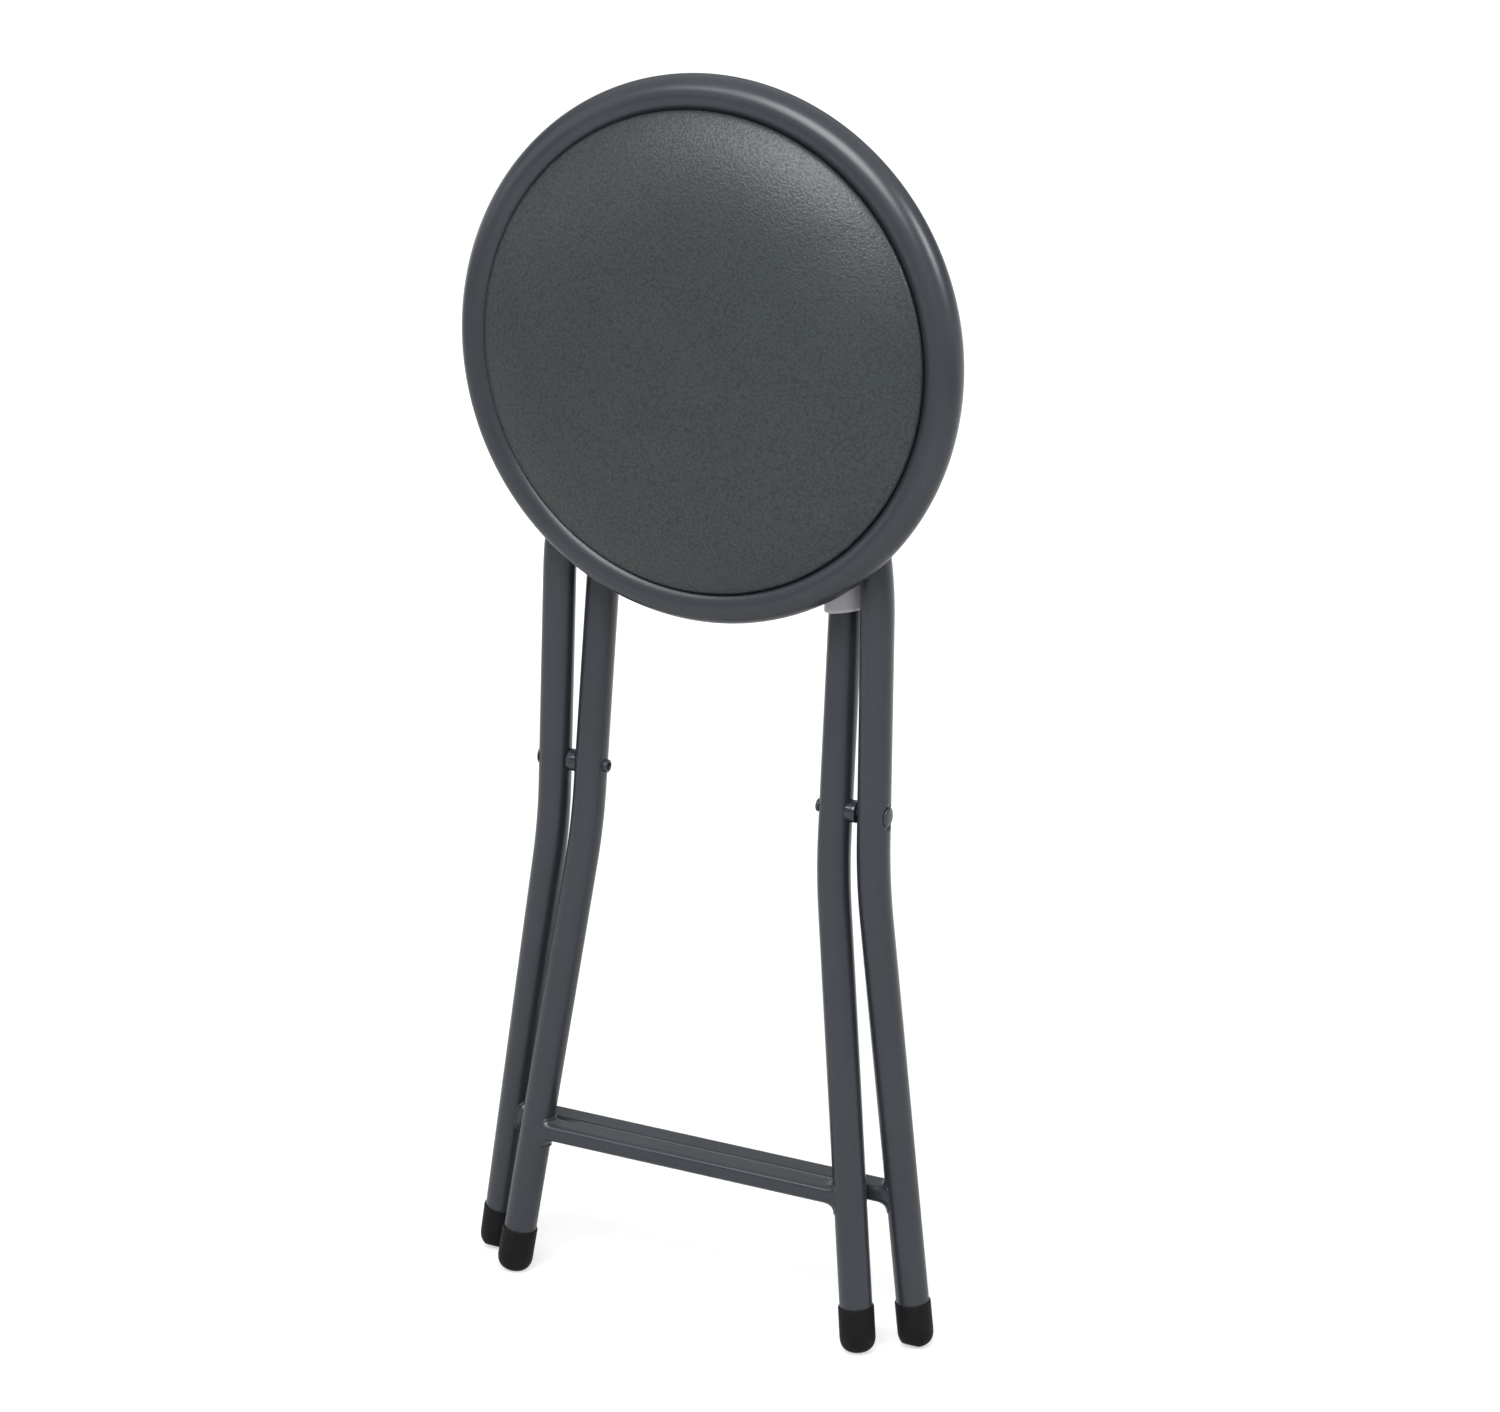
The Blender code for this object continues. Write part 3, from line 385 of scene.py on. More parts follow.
evenTurns = evenAngles(frameSet["sides"])
fineTurns = np.radians(np.concatenate([np.linspace(-50, 50, frameSet["fineSides"]), np.linspace(58, 302, 32)]))
for body, leg, put, _ in frames:
    half, leg["end"], leg["down"] = legPath(leg)
    pressed = body == "outer"
    tube = closedTube(tubeAlong(mirroredPath(half), tubeR, fineTurns if pressed else evenTurns, dimple=pressed))
    settle(newPiece(f"{body}FrameTube", placed(put, tube), coat), body, "coat", body + "_frame")
print("leg frames done")


# foot bars: flattened tube with flats between its corner arcs, flared into its welds by a quarter round

barSet = {
    "drop": 225.6 * mm, "depth": 16.0 * mm, "height": 10.2 * mm, "corner": 3.3 * mm,
    "flareLength": 6.5 * mm, "flareTop": 2.6 * mm, "flareBottom": 5.6 * mm,
    "inLeg": 4.0 * mm, "leanRun": 20.0 * mm,  # how far it ends inside the leg, and leans with it
    "cornerSteps": 9, "flatSteps": 6,
}


def barSection():  # quarter of flat, arc (F + c cos a, G + c sin a) and flat, mirrored to the other three
    corner, flat = barSet["corner"], barSet["flatSteps"]
    halfY, halfZ = barSet["depth"] / 2, barSet["height"] / 2
    a = np.linspace(0, math.pi / 2, barSet["cornerSteps"])
    back = np.linspace(halfY - corner, 0, flat + 1)[1:]
    rise = np.linspace(0, halfZ - corner, flat + 1)[:-1]
    y = np.concatenate([np.full(flat, halfY), halfY - corner + corner * np.cos(a), back])
    z = np.concatenate([rise, halfZ - corner + corner * np.sin(a), np.full(flat, halfZ)])
    quarter = np.stack([y, z], axis=1)
    half = np.vstack([quarter, quarter[-2::-1] * [-1, 1]])
    return np.vstack([half, -half[1:-1]])


def footBar(leg):
    # the section along X, its height growing by 1 - sqrt(1 - g^2) as the leg's surface comes near
    legX = leg["end"][0] + leg["down"][0] / leg["down"][1] * (frameSet["drop"] - barSet["drop"])
    y, rise = barSection().T / [[1.0], [barSet["height"] / 2]]
    reach = legX - np.sqrt(tubeR ** 2 - y ** 2)  # where each line of the section meets the leg
    flared = barSet["flareLength"]
    near = np.concatenate([np.linspace(0, 1, 30) ** 0.6 * (flared + 6 * mm), [flared + 20 * mm]])
    side = np.concatenate([[-barSet["inLeg"]], near])[:, None]  # distance back from the leg, the first row inside it
    grown = np.clip(1 - side / flared, 0, 1)
    flare = 1 - np.sqrt(1 - grown ** 2)
    height = barSet["height"] / 2 + flare * np.where(rise > 0, barSet["flareTop"], barSet["flareBottom"])
    z = rise * height
    x = reach - side - math.tan(leg["splay"]) * z * np.clip(1 - side / barSet["leanRun"], 0, 1)
    right = np.stack([x, y + 0 * x, z - barSet["drop"]], axis=-1)
    left = right[::-1] * [-1.0, 1.0, 1.0]
    return closedTube(np.concatenate([right, left]))


for body, leg, put, _ in frames:
    settle(newPiece(f"{body}FootBar", placed(put, footBar(leg)), coat), body, "coat", body + "_crossbar")
print("foot bars done")


# feet: domed caps pushed over the tube's ends, turned profile, with a worn flat where they stand when open

footSet = {
    "radius": 10.4 * mm, "fullness": 2.7, "grip": 13.0 * mm, "base": 4.2 * mm, "rim": 0.7 * mm, "soleCut": 0.3 * mm,
    "socketGap": 0.05 * mm, "socketDeep": 2.0 * mm, "press": 0.92,  # how flat the sole is worn
    "openLean": math.radians(31.0), "steps": 64,
}


def footCap(side, leg, way):
    # skirt, rim and dome (r cos^p a, -r sin^p a) turned about the leg's axis
    # points past the sole's plane slide back onto it
    r = footSet["radius"]
    a = np.linspace(math.pi / 2, 0, 28)
    dome = r * np.stack([np.cos(a) ** (2 / footSet["fullness"]), -np.sin(a) ** (2 / footSet["fullness"])], axis=1)
    dome[0, 0] = 0.0
    top = footSet["base"] + footSet["grip"]
    low = top - footSet["socketDeep"]
    socket = tubeR + footSet["socketGap"]
    skirt = roundedLine([dome[-1], (r, top), (socket, top), (socket, low)], [footSet["rim"], 0.2 * mm], 5)[1:]
    points, quads = turned(np.vstack([dome, skirt, [[0.0, low]]]), footSet["steps"])
    splay = leg["splay"]
    c, s = math.cos(splay), math.sin(splay) * side
    points = points.reshape(-1, 3) @ np.array([[c, 0, s], [0, 1, 0], [-s, 0, c]])
    endX, endZ = leg["end"] + footSet["base"] * leg["down"]
    floor = np.array([0.0, -math.sin(way * footSet["openLean"]), -math.cos(footSet["openLean"])])
    past = points @ floor - (r - footSet["soleCut"])
    points = points - np.maximum(past, 0)[:, None] * floor * footSet["press"]
    return points + [side * endX, 0, endZ], quads


for body, leg, put, way in frames:
    for tag, side in bothSides:
        cap = placed(put, footCap(side, leg, way))
        settle(newPiece(f"{body}Foot.{tag}", cap, rubber), body, "rubber", f"{body}_foot_{tag}")
print("feet done")


# sleeve on the inner frame's top: hose with a wall, its ends chamfered and a little slanted by the bend

sleeveSet = {
    "wall": 2.2 * mm, "endRise": 113.0 * mm, "chamfer": 1.9 * mm, "slant": math.radians(11.0), "gap": 0.3 * mm}


def hoseSleeve(leg):
    half, _, _ = legPath(leg)
    upper = half[half[:, 1] > sleeveSet["endRise"] + sleeveSet["chamfer"] + 0.5 * mm]
    taper = math.tan(frameSet["taper"])
    rises = sleeveSet["endRise"] + sleeveSet["chamfer"] * np.array([0.0, 0.15, 0.4, 0.7, 1.0])
    ends = np.stack([leg["halfWidth"] - taper * rises, rises], axis=1)
    path = mirroredPath(np.vstack([ends, upper]))
    inner = tubeR + sleeveSet["gap"]
    outer = np.full(len(path), inner + sleeveSet["wall"])
    ease = sleeveSet["chamfer"] * np.array([1.0, 0.62, 0.28, 0.07, 0.0])
    outer[:5] -= ease
    outer[-5:] -= ease[::-1]
    slant = np.zeros(len(path))
    slant[:5] = math.tan(sleeveSet["slant"])
    slant[-5:] = -math.tan(sleeveSet["slant"])
    outside = tubeAlong(path, outer, evenTurns, shear=slant)
    inside = tubeAlong(path, inner, evenTurns, shear=slant)[::-1]
    rows = np.concatenate([outside, inside])
    return rows, gridFaces(len(rows), frameSet["sides"], closeRows=True, closeColumns=True)


sleeve = newPiece("innerSleeve", placed(inInner, hoseSleeve(innerLeg)), hose)
settle(sleeve, "inner", "sleeve", "inner_sleeve")
print("sleeve done")


# pivot: rivets with a low head outside and a rolled, hollow end inside, and saddled spacers

rivetSet = {
    "shank": 3.0 * mm, "head": 5.8 * mm, "headThick": 2.05 * mm, "headEdge": 0.5 * mm, "headGap": 0.05 * mm,
    "roll": 3.8 * mm, "rollThick": 1.6 * mm, "rollHigh": 0.9 * mm, "rollGap": 0.3 * mm,
    "bore": 2.0 * mm, "boreDepth": 9.0 * mm, "steps": 48,
}
spacerSet = {
    "radius": 6.4 * mm, "thick": 4.0 * mm, "play": 0.15 * mm, "boreGap": 0.2 * mm, "edge": 0.5 * mm,
    "saddleEdge": 0.2 * mm, "steps": 64,
}


def alongX(points, side):  # turn a lathe shape's height onto X, towards that side
    points = np.asarray(points).reshape(-1, 3)
    return np.stack([side * points[:, 2], points[:, 1], -side * points[:, 0]], axis=1)


def pivotRivet():  # low dome, shank and rolled rim turned about the pivot axis
    headSeat = outerLeg["halfWidth"] + tubeR - frameSet["dimple"] + rivetSet["headGap"]
    rollSeat = innerLeg["halfWidth"] - tubeR + rivetSet["rollGap"]
    tail = innerLeg["halfWidth"] - tubeR - rivetSet["rollGap"] - rivetSet["rollThick"]
    wide, edge = rivetSet["head"], rivetSet["headEdge"]
    a = np.linspace(math.pi / 2, 0, 16)
    rise = headSeat + edge + (rivetSet["headThick"] - edge) * np.sin(a) ** 1.1
    head = np.stack([wide * np.cos(a) ** 0.85, rise], axis=1)
    head[0, 0] = 0.0
    under = [(wide - 0.1 * edge, headSeat + 0.5 * edge), (wide - 0.5 * edge, headSeat + 0.15 * edge)]
    b = np.linspace(-0.1, 1.0, 14) * math.pi
    middle, thick = (rivetSet["roll"] + rivetSet["bore"]) / 2, (rivetSet["roll"] - rivetSet["bore"]) / 2
    roll = np.stack([middle + thick * np.cos(b), tail + rivetSet["rollHigh"] * (1 - np.sin(b))], axis=1)
    deep = tail + rivetSet["boreDepth"]
    inside = [(rivetSet["bore"], deep), (0.0, deep)]
    shank = [(rivetSet["shank"], headSeat), (rivetSet["shank"], rollSeat), (rivetSet["roll"], rollSeat)]
    return turned(np.vstack([head, under, shank, roll, inside]), rivetSet["steps"])


def pivotSpacer(leg):
    # rings at radius r and turn t; the saddle side stands on the leg: x = W + sqrt(R^2 - (r sin t)^2)
    saddleR = tubeR + spacerSet["play"]
    end = leg["halfWidth"] + saddleR + spacerSet["thick"]
    t = evenAngles(spacerSet["steps"])
    r0, r1 = rivetSet["shank"] + spacerSet["boreGap"], spacerSet["radius"]
    e, rim = spacerSet["edge"], spacerSet["saddleEdge"]
    r = np.array([r0, (r0 + r1) / 2, r1 - rim, r1, r1, r1, r1 - 0.15 * e, r1 - 0.5 * e, r1 - e, r0])[:, None]
    saddle = leg["halfWidth"] + np.sqrt(saddleR ** 2 - (r[:5] * np.sin(t)) ** 2)
    saddle[3] += rim
    saddle[4] = (saddle[4] + end - e) / 2
    face = end - e * np.array([1.0, 0.5, 0.15, 0.0, 0.0])[:, None] + 0 * t
    points = np.stack([np.vstack([saddle, face]), r * np.sin(t), r * np.cos(t)], axis=-1)
    return points, gridFaces(len(r), len(t), closeRows=True, closeColumns=True)


for tag, side in bothSides:
    rivet = placed(lambda points: alongX(points, side) + pivotAt, pivotRivet())
    settle(newPiece(f"pivotRivet.{tag}", rivet, coat), "pivot", "coat", f"pivot_rivet_{tag}")
    spacer = placed(lambda points: inInner(points * [side, 1, 1]), pivotSpacer(innerLeg))
    settle(newPiece(f"pivotSpacer.{tag}", spacer, nylon), "inner", "nylon", f"pivot_spacer_{tag}")
print("pivot done")


# seat, worked out from the ring's centre with the pad up

seatSet = {
    "setback": 74.0 * mm, "hingeDepth": 19.95 * mm, "lean": math.radians(1.852),
    "ringRadius": 140.0 * mm, "ringTube": 11.0 * mm,
    "boardRadius": 127.3 * mm, "boardDrop": 9.35 * mm, "boardThick": 9.0 * mm,
    "weepHole": 2.0 * mm, "weepDeep": 5.0 * mm, "weepEdge": 0.35 * mm, "weepNear": 4.0 * mm, "weepSteps": 41,
}


def inHinge(points):  # from the hinge's axis, Y towards the seat's middle
    return turnX(points, frameSet["lean"] + math.pi / 2 - seatSet["lean"]) + hingeAt


def inSeat(points):
    return inHinge(np.asarray(points) + [0.0, seatSet["setback"], seatSet["hingeDepth"]])


def hoop(radius, tube, t, s):  # ((R + r cos s) cos t, (R + r cos s) sin t, r sin s)
    reach = radius + tube * np.cos(s)
    t = t[:, None]
    return np.stack([reach * np.cos(t), reach * np.sin(t), tube * np.sin(s) + 0 * t], axis=-1)


def closer(steps, middle, reach, fine):  # even turns, with fine ones for some way about the middle
    even = evenAngles(steps)
    even = even[np.abs(even - middle) > reach * 1.05]
    return np.sort(np.concatenate([even, middle + np.linspace(-reach, reach, fine)]))


def seatRing():  # hoop with a weep hole sunk into its underside, where hot dip and wash drain out
    radius, tube = seatSet["ringRadius"], seatSet["ringTube"]
    near, fine = seatSet["weepNear"], seatSet["weepSteps"]
    t = closer(240, math.pi / 2, near / radius, fine)
    s = closer(56, math.pi * 1.5, near / tube, fine)
    points = hoop(radius, tube, t, s)
    away = np.hypot((radius + tube * np.cos(s)) * (t[:, None] - math.pi / 2), tube * (s - math.pi * 1.5))
    sink = seatSet["weepDeep"] * smoothStep((seatSet["weepHole"] + 0.15 * mm - away) / seatSet["weepEdge"])
    sunk = hoop(radius, 1.0, t, s) - hoop(radius, 0.0, t, s)
    return points - sink[..., None] * sunk, gridFaces(len(t), len(s), closeRows=True, closeColumns=True)


settle(newPiece("seatRing", placed(inSeat, seatRing()), coat), "seat", "coat", "seat_ring")
print("ring done")


# pad: vinyl over foam, crowned, blown up with Cloth while its rim is held beside the ring

padSet = {
    "crown": 23.0 * mm, "flatness": 4.6,
    "start": 20.5 * mm, "play": 0.4 * mm,  # lower before it swells, and clear of the ring
    "lip": math.radians(120.0), "rim": 2.4 * mm, "heldHigh": 12.0 * mm, "middle": 20.0 * mm, "edge": 134.0 * mm,
    "grid": 92, "pressure": 4.0, "frames": 20, "cap": 8.0 * mm, "even": 90,
}


def pathLength(line):
    return np.concatenate([[0], np.cumsum(norm(np.diff(line, axis=0), axis=1))])


def padProfile():  # z = H (1 - (r / R)^n) out to the rim, rolled over, then down beside the ring's tube to the board
    reach = seatSet["ringTube"] + padSet["play"]
    a = np.linspace(padSet["lip"], math.pi, 16)
    swell = np.stack([seatSet["ringRadius"] + reach * np.cos(a), reach * np.sin(a)], axis=1)
    floor = seatSet["boardThick"] - seatSet["boardDrop"] + 0.2 * mm
    swell = np.vstack([swell[swell[:, 1] > floor + 0.5 * mm], [(swell[-1, 0] - 0.2 * mm, floor)]])
    out = np.linspace(0, 1, 60)
    rim = swell[0]
    top = np.stack([rim[0] * out, rim[1] + padSet["start"] * (1 - out ** padSet["flatness"])], axis=1)
    top = top[norm(top - rim, axis=1) > padSet["rim"]]
    swell = swell[norm(swell - rim, axis=1) > padSet["rim"]]
    roll = roundedLine([top[-1], rim, swell[0]], [padSet["rim"] * 0.98], 8)[1:-1]
    return np.vstack([top, roll, swell])


def discSheet(profile, count):
    # square grid laid over a disc: ring s = max(|u|, |v|) lies at that share of the profile's length
    # and the turn on it is t = pi/4 v/u, or pi/2 - pi/4 u/v
    u, v = np.meshgrid(np.linspace(-1, 1, count + 1), np.linspace(-1, 1, count + 1), indexing="ij")
    wide = np.abs(u) >= np.abs(v)
    t = np.where(
        wide, math.pi / 4 * v / np.where(u == 0, 1, u), math.pi / 2 - math.pi / 4 * u / np.where(v == 0, 1, v))
    t = t + math.pi * np.where(wide, u < 0, v < 0)
    s = np.maximum(np.abs(u), np.abs(v))
    length = pathLength(profile)
    r, z = (np.interp(s, length / length[-1], column) for column in profile.T)
    return np.stack([r * np.cos(t), r * np.sin(t), z], axis=-1).reshape(-1, 3), gridFaces(count + 1, count + 1)


def meshPoints(mesh):
    points = np.empty(len(mesh.vertices) * 3)
    mesh.vertices.foreach_get("co", points)
    return points.reshape(-1, 3)


def baked(piece):  # the piece's mesh with its modifiers worked in, and none left on it
    bpy.context.view_layer.update()
    made = bpy.data.meshes.new_from_object(piece.evaluated_get(bpy.context.evaluated_depsgraph_get()))
    piece.modifiers.clear()
    piece.data = made
    return made


def evened(mesh, values, free, rounds):  # values spread to the mean of their neighbours, where they are free
    edges = np.empty(len(mesh.edges) * 2, int)
    mesh.edges.foreach_get("vertices", edges)
    a, b = edges.reshape(-1, 2).T
    count = np.bincount(edges, minlength=len(values))[:, None]
    for _ in range(rounds):
        total = np.zeros_like(values)
        np.add.at(total, a, values[b])
        np.add.at(total, b, values[a])
        values = np.where(free[:, None], (values + total / count) / 2, values)
    return values


def makePad():
    profile = padProfile()
    top, quads = discSheet(profile, padSet["grid"])
    under, _ = discSheet(np.array([(0.0, profile[-1, 1]), profile[-1]]), padSet["grid"])
    sheets = np.vstack([quads, quads[:, ::-1] + len(top)])
    pad = newPiece("seatPad", [(np.vstack([top, under]), sheets)], vinyl, sharp=180.0)
    rest = meshPoints(pad.data)
    out = np.hypot(rest[:, 0], rest[:, 1])
    rimHeight = profile[-1, 1] + padSet["heldHigh"]
    move = np.outer(np.where(rest[:, 2] > rimHeight, 1 - (out / padSet["edge"]) ** 2, 0), [0, 0, 1.0])
    held = pad.vertex_groups.new(name="held")
    held.add(np.flatnonzero(rest[:, 2] < rimHeight).tolist(), 1.0, "REPLACE")
    cloth = pad.modifiers.new("swell", "CLOTH")
    cloth.settings.use_pressure = True
    cloth.settings.uniform_pressure_force = padSet["pressure"]
    cloth.settings.vertex_group_mass = "held"
    cloth.settings.effector_weights.gravity = 0.0
    for number in range(1, padSet["frames"] + 1):
        scene.frame_set(number)
    move = meshPoints(baked(pad)) - rest
    scene.frame_set(1)
    far = norm(move, axis=1)
    print("pad moved up to", round(far.max() / mm, 2), "mm")
    move = move * np.minimum(1, padSet["cap"] / np.maximum(far, 1e-9))[:, None]
    move = evened(pad.data, move, rest[:, 2] > rimHeight, padSet["even"])
    lift = move[(out < padSet["middle"]) & (rest[:, 2] > rimHeight), 2].mean()
    print("pad swelled", round(lift / mm, 2), "mm in the middle")
    points = rest + move * (padSet["crown"] - padSet["start"]) / lift
    pad.data.vertices.foreach_set("co", inSeat(points).ravel())
    smooth = pad.modifiers.new("smooth", "SUBSURF")
    smooth.levels = smooth.render_levels = 1
    baked(pad).shade_smooth()
    return pad


pad = makePad()
settle(pad, "seat", "vinyl", "seat_cover", "seat_foam")
print("pad done:", len(pad.data.polygons), "faces")


# cover turned in under the board, gathered in small pleats and stapled down

coverSet = {
    "thick": 0.8 * mm, "turn": 15.0 * mm, "gap": 0.3 * mm, "round": 1.2 * mm, "top": -0.6 * mm,
    "pleats": 52, "pleatHigh": 0.55 * mm, "pleatSteps": 10, "wander": 1.2 * mm,
    "staples": 40, "stapleIn": 9.0 * mm, "crown": 8.5 * mm, "wire": 0.9 * mm, "wireHigh": 0.56 * mm,
    "droop": 0.75 * mm, "skew": 0.16, "stapleSteps": 9, "wireSides": 8,
}


def turnedCover():
    # section turned about Z; z drops by h ((1 + cos n t) / 2)^3 in the pleats, more the further in
    # and the cut edge wanders
    edge = seatSet["boardRadius"] + coverSet["gap"]
    under = -seatSet["boardDrop"] - coverSet["gap"]
    end, thick, top = edge - coverSet["turn"], coverSet["thick"], coverSet["top"]
    out = roundedLine([(edge + thick, top), (edge + thick, under - thick), (end, under - thick)], [coverSet["round"]])
    run = np.linspace(0.15, 0.9, 6)[:, None]
    out = np.vstack([out[:-1], out[-2] * (1 - run) + out[-1] * run, out[-1:]])
    section = np.vstack([out, [(end, under), (edge, under), (edge, top)]])
    t = evenAngles(coverSet["pleats"] * coverSet["pleatSteps"])
    inward = np.clip((edge - section[:, :1]) / coverSet["turn"], 0, 1)
    outer = (np.arange(len(section)) < len(out))[:, None]
    wander = 0.5 * np.sin(7 * t + 1) + 0.3 * np.sin(17 * t) + 0.35 * np.sin(29 * t + 2)
    fold = ((1 + np.cos(coverSet["pleats"] * t + 1.5 * np.sin(5 * t))) / 2) ** 3 * (0.7 + 0.3 * np.sin(11 * t))
    r = section[:, :1] + coverSet["wander"] * wander * inward ** 4
    z = section[:, 1:] - coverSet["pleatHigh"] * fold * inward * outer
    points = np.stack([r * np.cos(t), r * np.sin(t), z], axis=-1)
    return points, gridFaces(len(section), len(t), closeRows=True, closeColumns=True)


def coverStaples():
    # crown of flat wire on each: an oval section drawn out along the rim, drooping into the cover at its ends
    number = np.arange(coverSet["staples"])[:, None, None]
    turn = (number + 0.5) * 2 * math.pi / coverSet["staples"]
    skew = coverSet["skew"] * np.sin(number * 2.4)
    s = np.linspace(-1, 1, coverSet["stapleSteps"])[:, None]
    a = evenAngles(coverSet["wireSides"]) + math.pi / coverSet["wireSides"]
    along = coverSet["crown"] / 2 * s + 0 * a
    narrow = 1 - 0.25 * s ** 8
    wide = coverSet["wire"] / 2 * np.cos(a) * narrow
    low = -coverSet["wireHigh"] / 2 * np.sin(a) * narrow + coverSet["droop"] * s ** 8
    place = seatSet["boardRadius"] - coverSet["stapleIn"]
    level = -seatSet["boardDrop"] - coverSet["gap"] - coverSet["thick"] - 0.2 * mm
    x = place + wide * np.cos(skew) - along * np.sin(skew)
    y = along * np.cos(skew) + wide * np.sin(skew)
    c, n = np.cos(turn), np.sin(turn)
    points = np.stack([x * c - y * n, x * n + y * c, level + low + 0 * x], axis=-1)
    return [(rows, gridFaces(len(s), len(a), closeColumns=True)) for rows in points]


settle(newPiece("coverTurnedUnder", placed(inSeat, turnedCover()), vinyl), "seat", "vinyl")
settle(newPiece("coverStaples", placed(inSeat, *coverStaples()), zinc), "seat", "zinc")
print("cover turned under")


# tabs, straps and catch: pressed strip with rounded edges, carried along a bent line

tabSet = {
    "thick": 2.0 * mm, "width": 18.0 * mm, "turns": (25.0, 155.0, 205.0, 335.0), "nose": 5.0 * mm,
    "stepIn": 16.8 * mm, "flange": 16.5 * mm, "slope": 4.0 * mm, "past": 1.5 * mm, "bend": 1.6 * mm,
    "screwIn": 9.5 * mm, "bead": 1.1 * mm,
}
strapSet = {
    "thick": 1.5 * mm, "width": 18.0 * mm, "out": 36.0 * mm, "flange": 15.0 * mm, "bend": 2.6 * mm, "nose": 5.0 * mm}
catchSet = {
    "thick": 2.0 * mm, "half": 22.0 * mm, "lip": 5.2 * mm, "near": math.radians(146.0), "far": math.radians(-26.0),
    "baseNear": 30.0 * mm, "baseFar": 6.0 * mm, "wallNear": 18.0 * mm, "nose": 5.0 * mm, "lipEnd": math.radians(20.0),
    "barIn": 27.9 * mm, "screwOut": 11.0 * mm, "screwBack": 23.0 * mm,  # from the board's edge, middle and bar
}
stripEdge = 0.4 * mm
touch = 0.3 * mm
underBoard = -seatSet["boardDrop"] - touch


def nosed(line, half, nose, both=False):
    # half width along the line, its first end or both rounded off: w - n + sqrt(n^2 - (n - d)^2)
    length = pathLength(line)
    near = nose * np.array([0, 0.03, 0.12, 0.3, 0.6, 1.0])
    marks = np.unique(np.concatenate([length, near, length[-1] - near if both else near]))
    line = np.stack([np.interp(marks, length, column) for column in line.T], axis=1)
    fromEnd = np.minimum(marks, length[-1] - marks) if both else marks
    short = np.clip(nose - fromEnd, 0, nose)
    return line, half - nose + np.sqrt(nose ** 2 - short ** 2)


def stripAlong(line, half, thick):
    # rectangle with rounded corners: x across, the line's normal through its thickness
    _, out = pathAxes(line)
    edge = stripEdge
    corner = np.repeat(np.arange(4) * math.pi / 2 + math.pi / 4, 5)
    a = corner + np.tile(np.linspace(-math.pi / 4, math.pi / 4, 5), 4)
    across = np.sign(np.cos(corner)) * (np.broadcast_to(half, len(line))[:, None] - edge) + edge * np.cos(a)
    deep = np.sign(np.sin(corner)) * (thick / 2 - edge) + edge * np.sin(a) + 0 * across
    return closedTube(np.stack([across, line[:, :1] + deep * out[:, :1], line[:, 1:] + deep * out[:, 1:]], axis=-1))


def plate(outline, start, end):  # outline in (y, z), drawn along x, its rims eased by a small inward step
    edge = stripEdge
    loop = np.vstack([outline[-1:], outline, outline[:1]])
    way = loop[2:] - loop[:-2]
    inward = np.stack([-way[:, 1], way[:, 0]], axis=1) / norm(way, axis=1)[:, None]
    ahead = np.roll(outline, -1, axis=0)
    inward = inward * np.sign((outline[:, 0] * ahead[:, 1] - outline[:, 1] * ahead[:, 0]).sum())
    rows = [(start, 1.0), (start + 0.3 * edge, 0.3), (start + edge, 0.0)]
    rows += [(end - edge, 0.0), (end - 0.3 * edge, 0.3), (end, 1.0)]
    points = [np.column_stack([np.full(len(outline), x), outline + inward * edge * share]) for x, share in rows]
    return np.stack(points), gridFaces(len(rows), len(outline), closeColumns=True)


def around(points, turn):  # turn a shape that points along Y to the given direction about Z
    x, y, z = np.asarray(points).reshape(-1, 3).T
    return np.stack([x * math.sin(turn) + y * math.cos(turn), y * math.sin(turn) - x * math.cos(turn), z], axis=1)


def weldBead(path, thick):
    # bead of overlapping drops: radius r (1 + 0.14 cos(2 pi s / 1.5 mm)), closing in at its ends
    length = pathLength(path)
    way = np.gradient(path, axis=0)
    way /= norm(way, axis=1)[:, None]
    side = np.cross(way, [0.0, 0.0, 1.0])
    side /= norm(side, axis=1)[:, None]
    up = np.cross(side, way)
    ends = np.clip(np.minimum(length, length[-1] - length) / thick, 0, 1)
    radius = thick * (1 + 0.14 * np.cos(length * 2 * math.pi / (1.5 * mm))) * np.sqrt(1 - (1 - ends) ** 2) + 1e-5
    t = evenAngles(12)
    ring = np.cos(t)[:, None] * side[:, None] + np.sin(t)[:, None] * up[:, None]
    return closedTube(path[:, None] + radius[:, None, None] * ring)


def ringTab():
    thick, halfWidth, ringR = tabSet["thick"], tabSet["width"] / 2, seatSet["ringRadius"]
    low = -seatSet["ringTube"] - touch - thick / 2
    high = underBoard - thick / 2
    step = seatSet["boardRadius"] - tabSet["stepIn"]
    corners = [(step - tabSet["flange"], high), (step - tabSet["slope"], high), (step, low)]
    corners.append((ringR + tabSet["past"], low))
    line, half = nosed(roundedLine(corners, [tabSet["bend"]] * 2), halfWidth, tabSet["nose"])
    r = ringR + np.linspace(-3.5, 3.0, 40) * mm
    z = -np.sqrt(seatSet["ringTube"] ** 2 - (r - ringR) ** 2) - 0.25 * mm
    sides = [np.stack([side * (halfWidth + 0.2 * mm) + 0 * r, r, z], axis=1) for _, side in bothSides]
    return [stripAlong(line, half, thick), *(weldBead(path, tabSet["bead"]) for path in sides)]


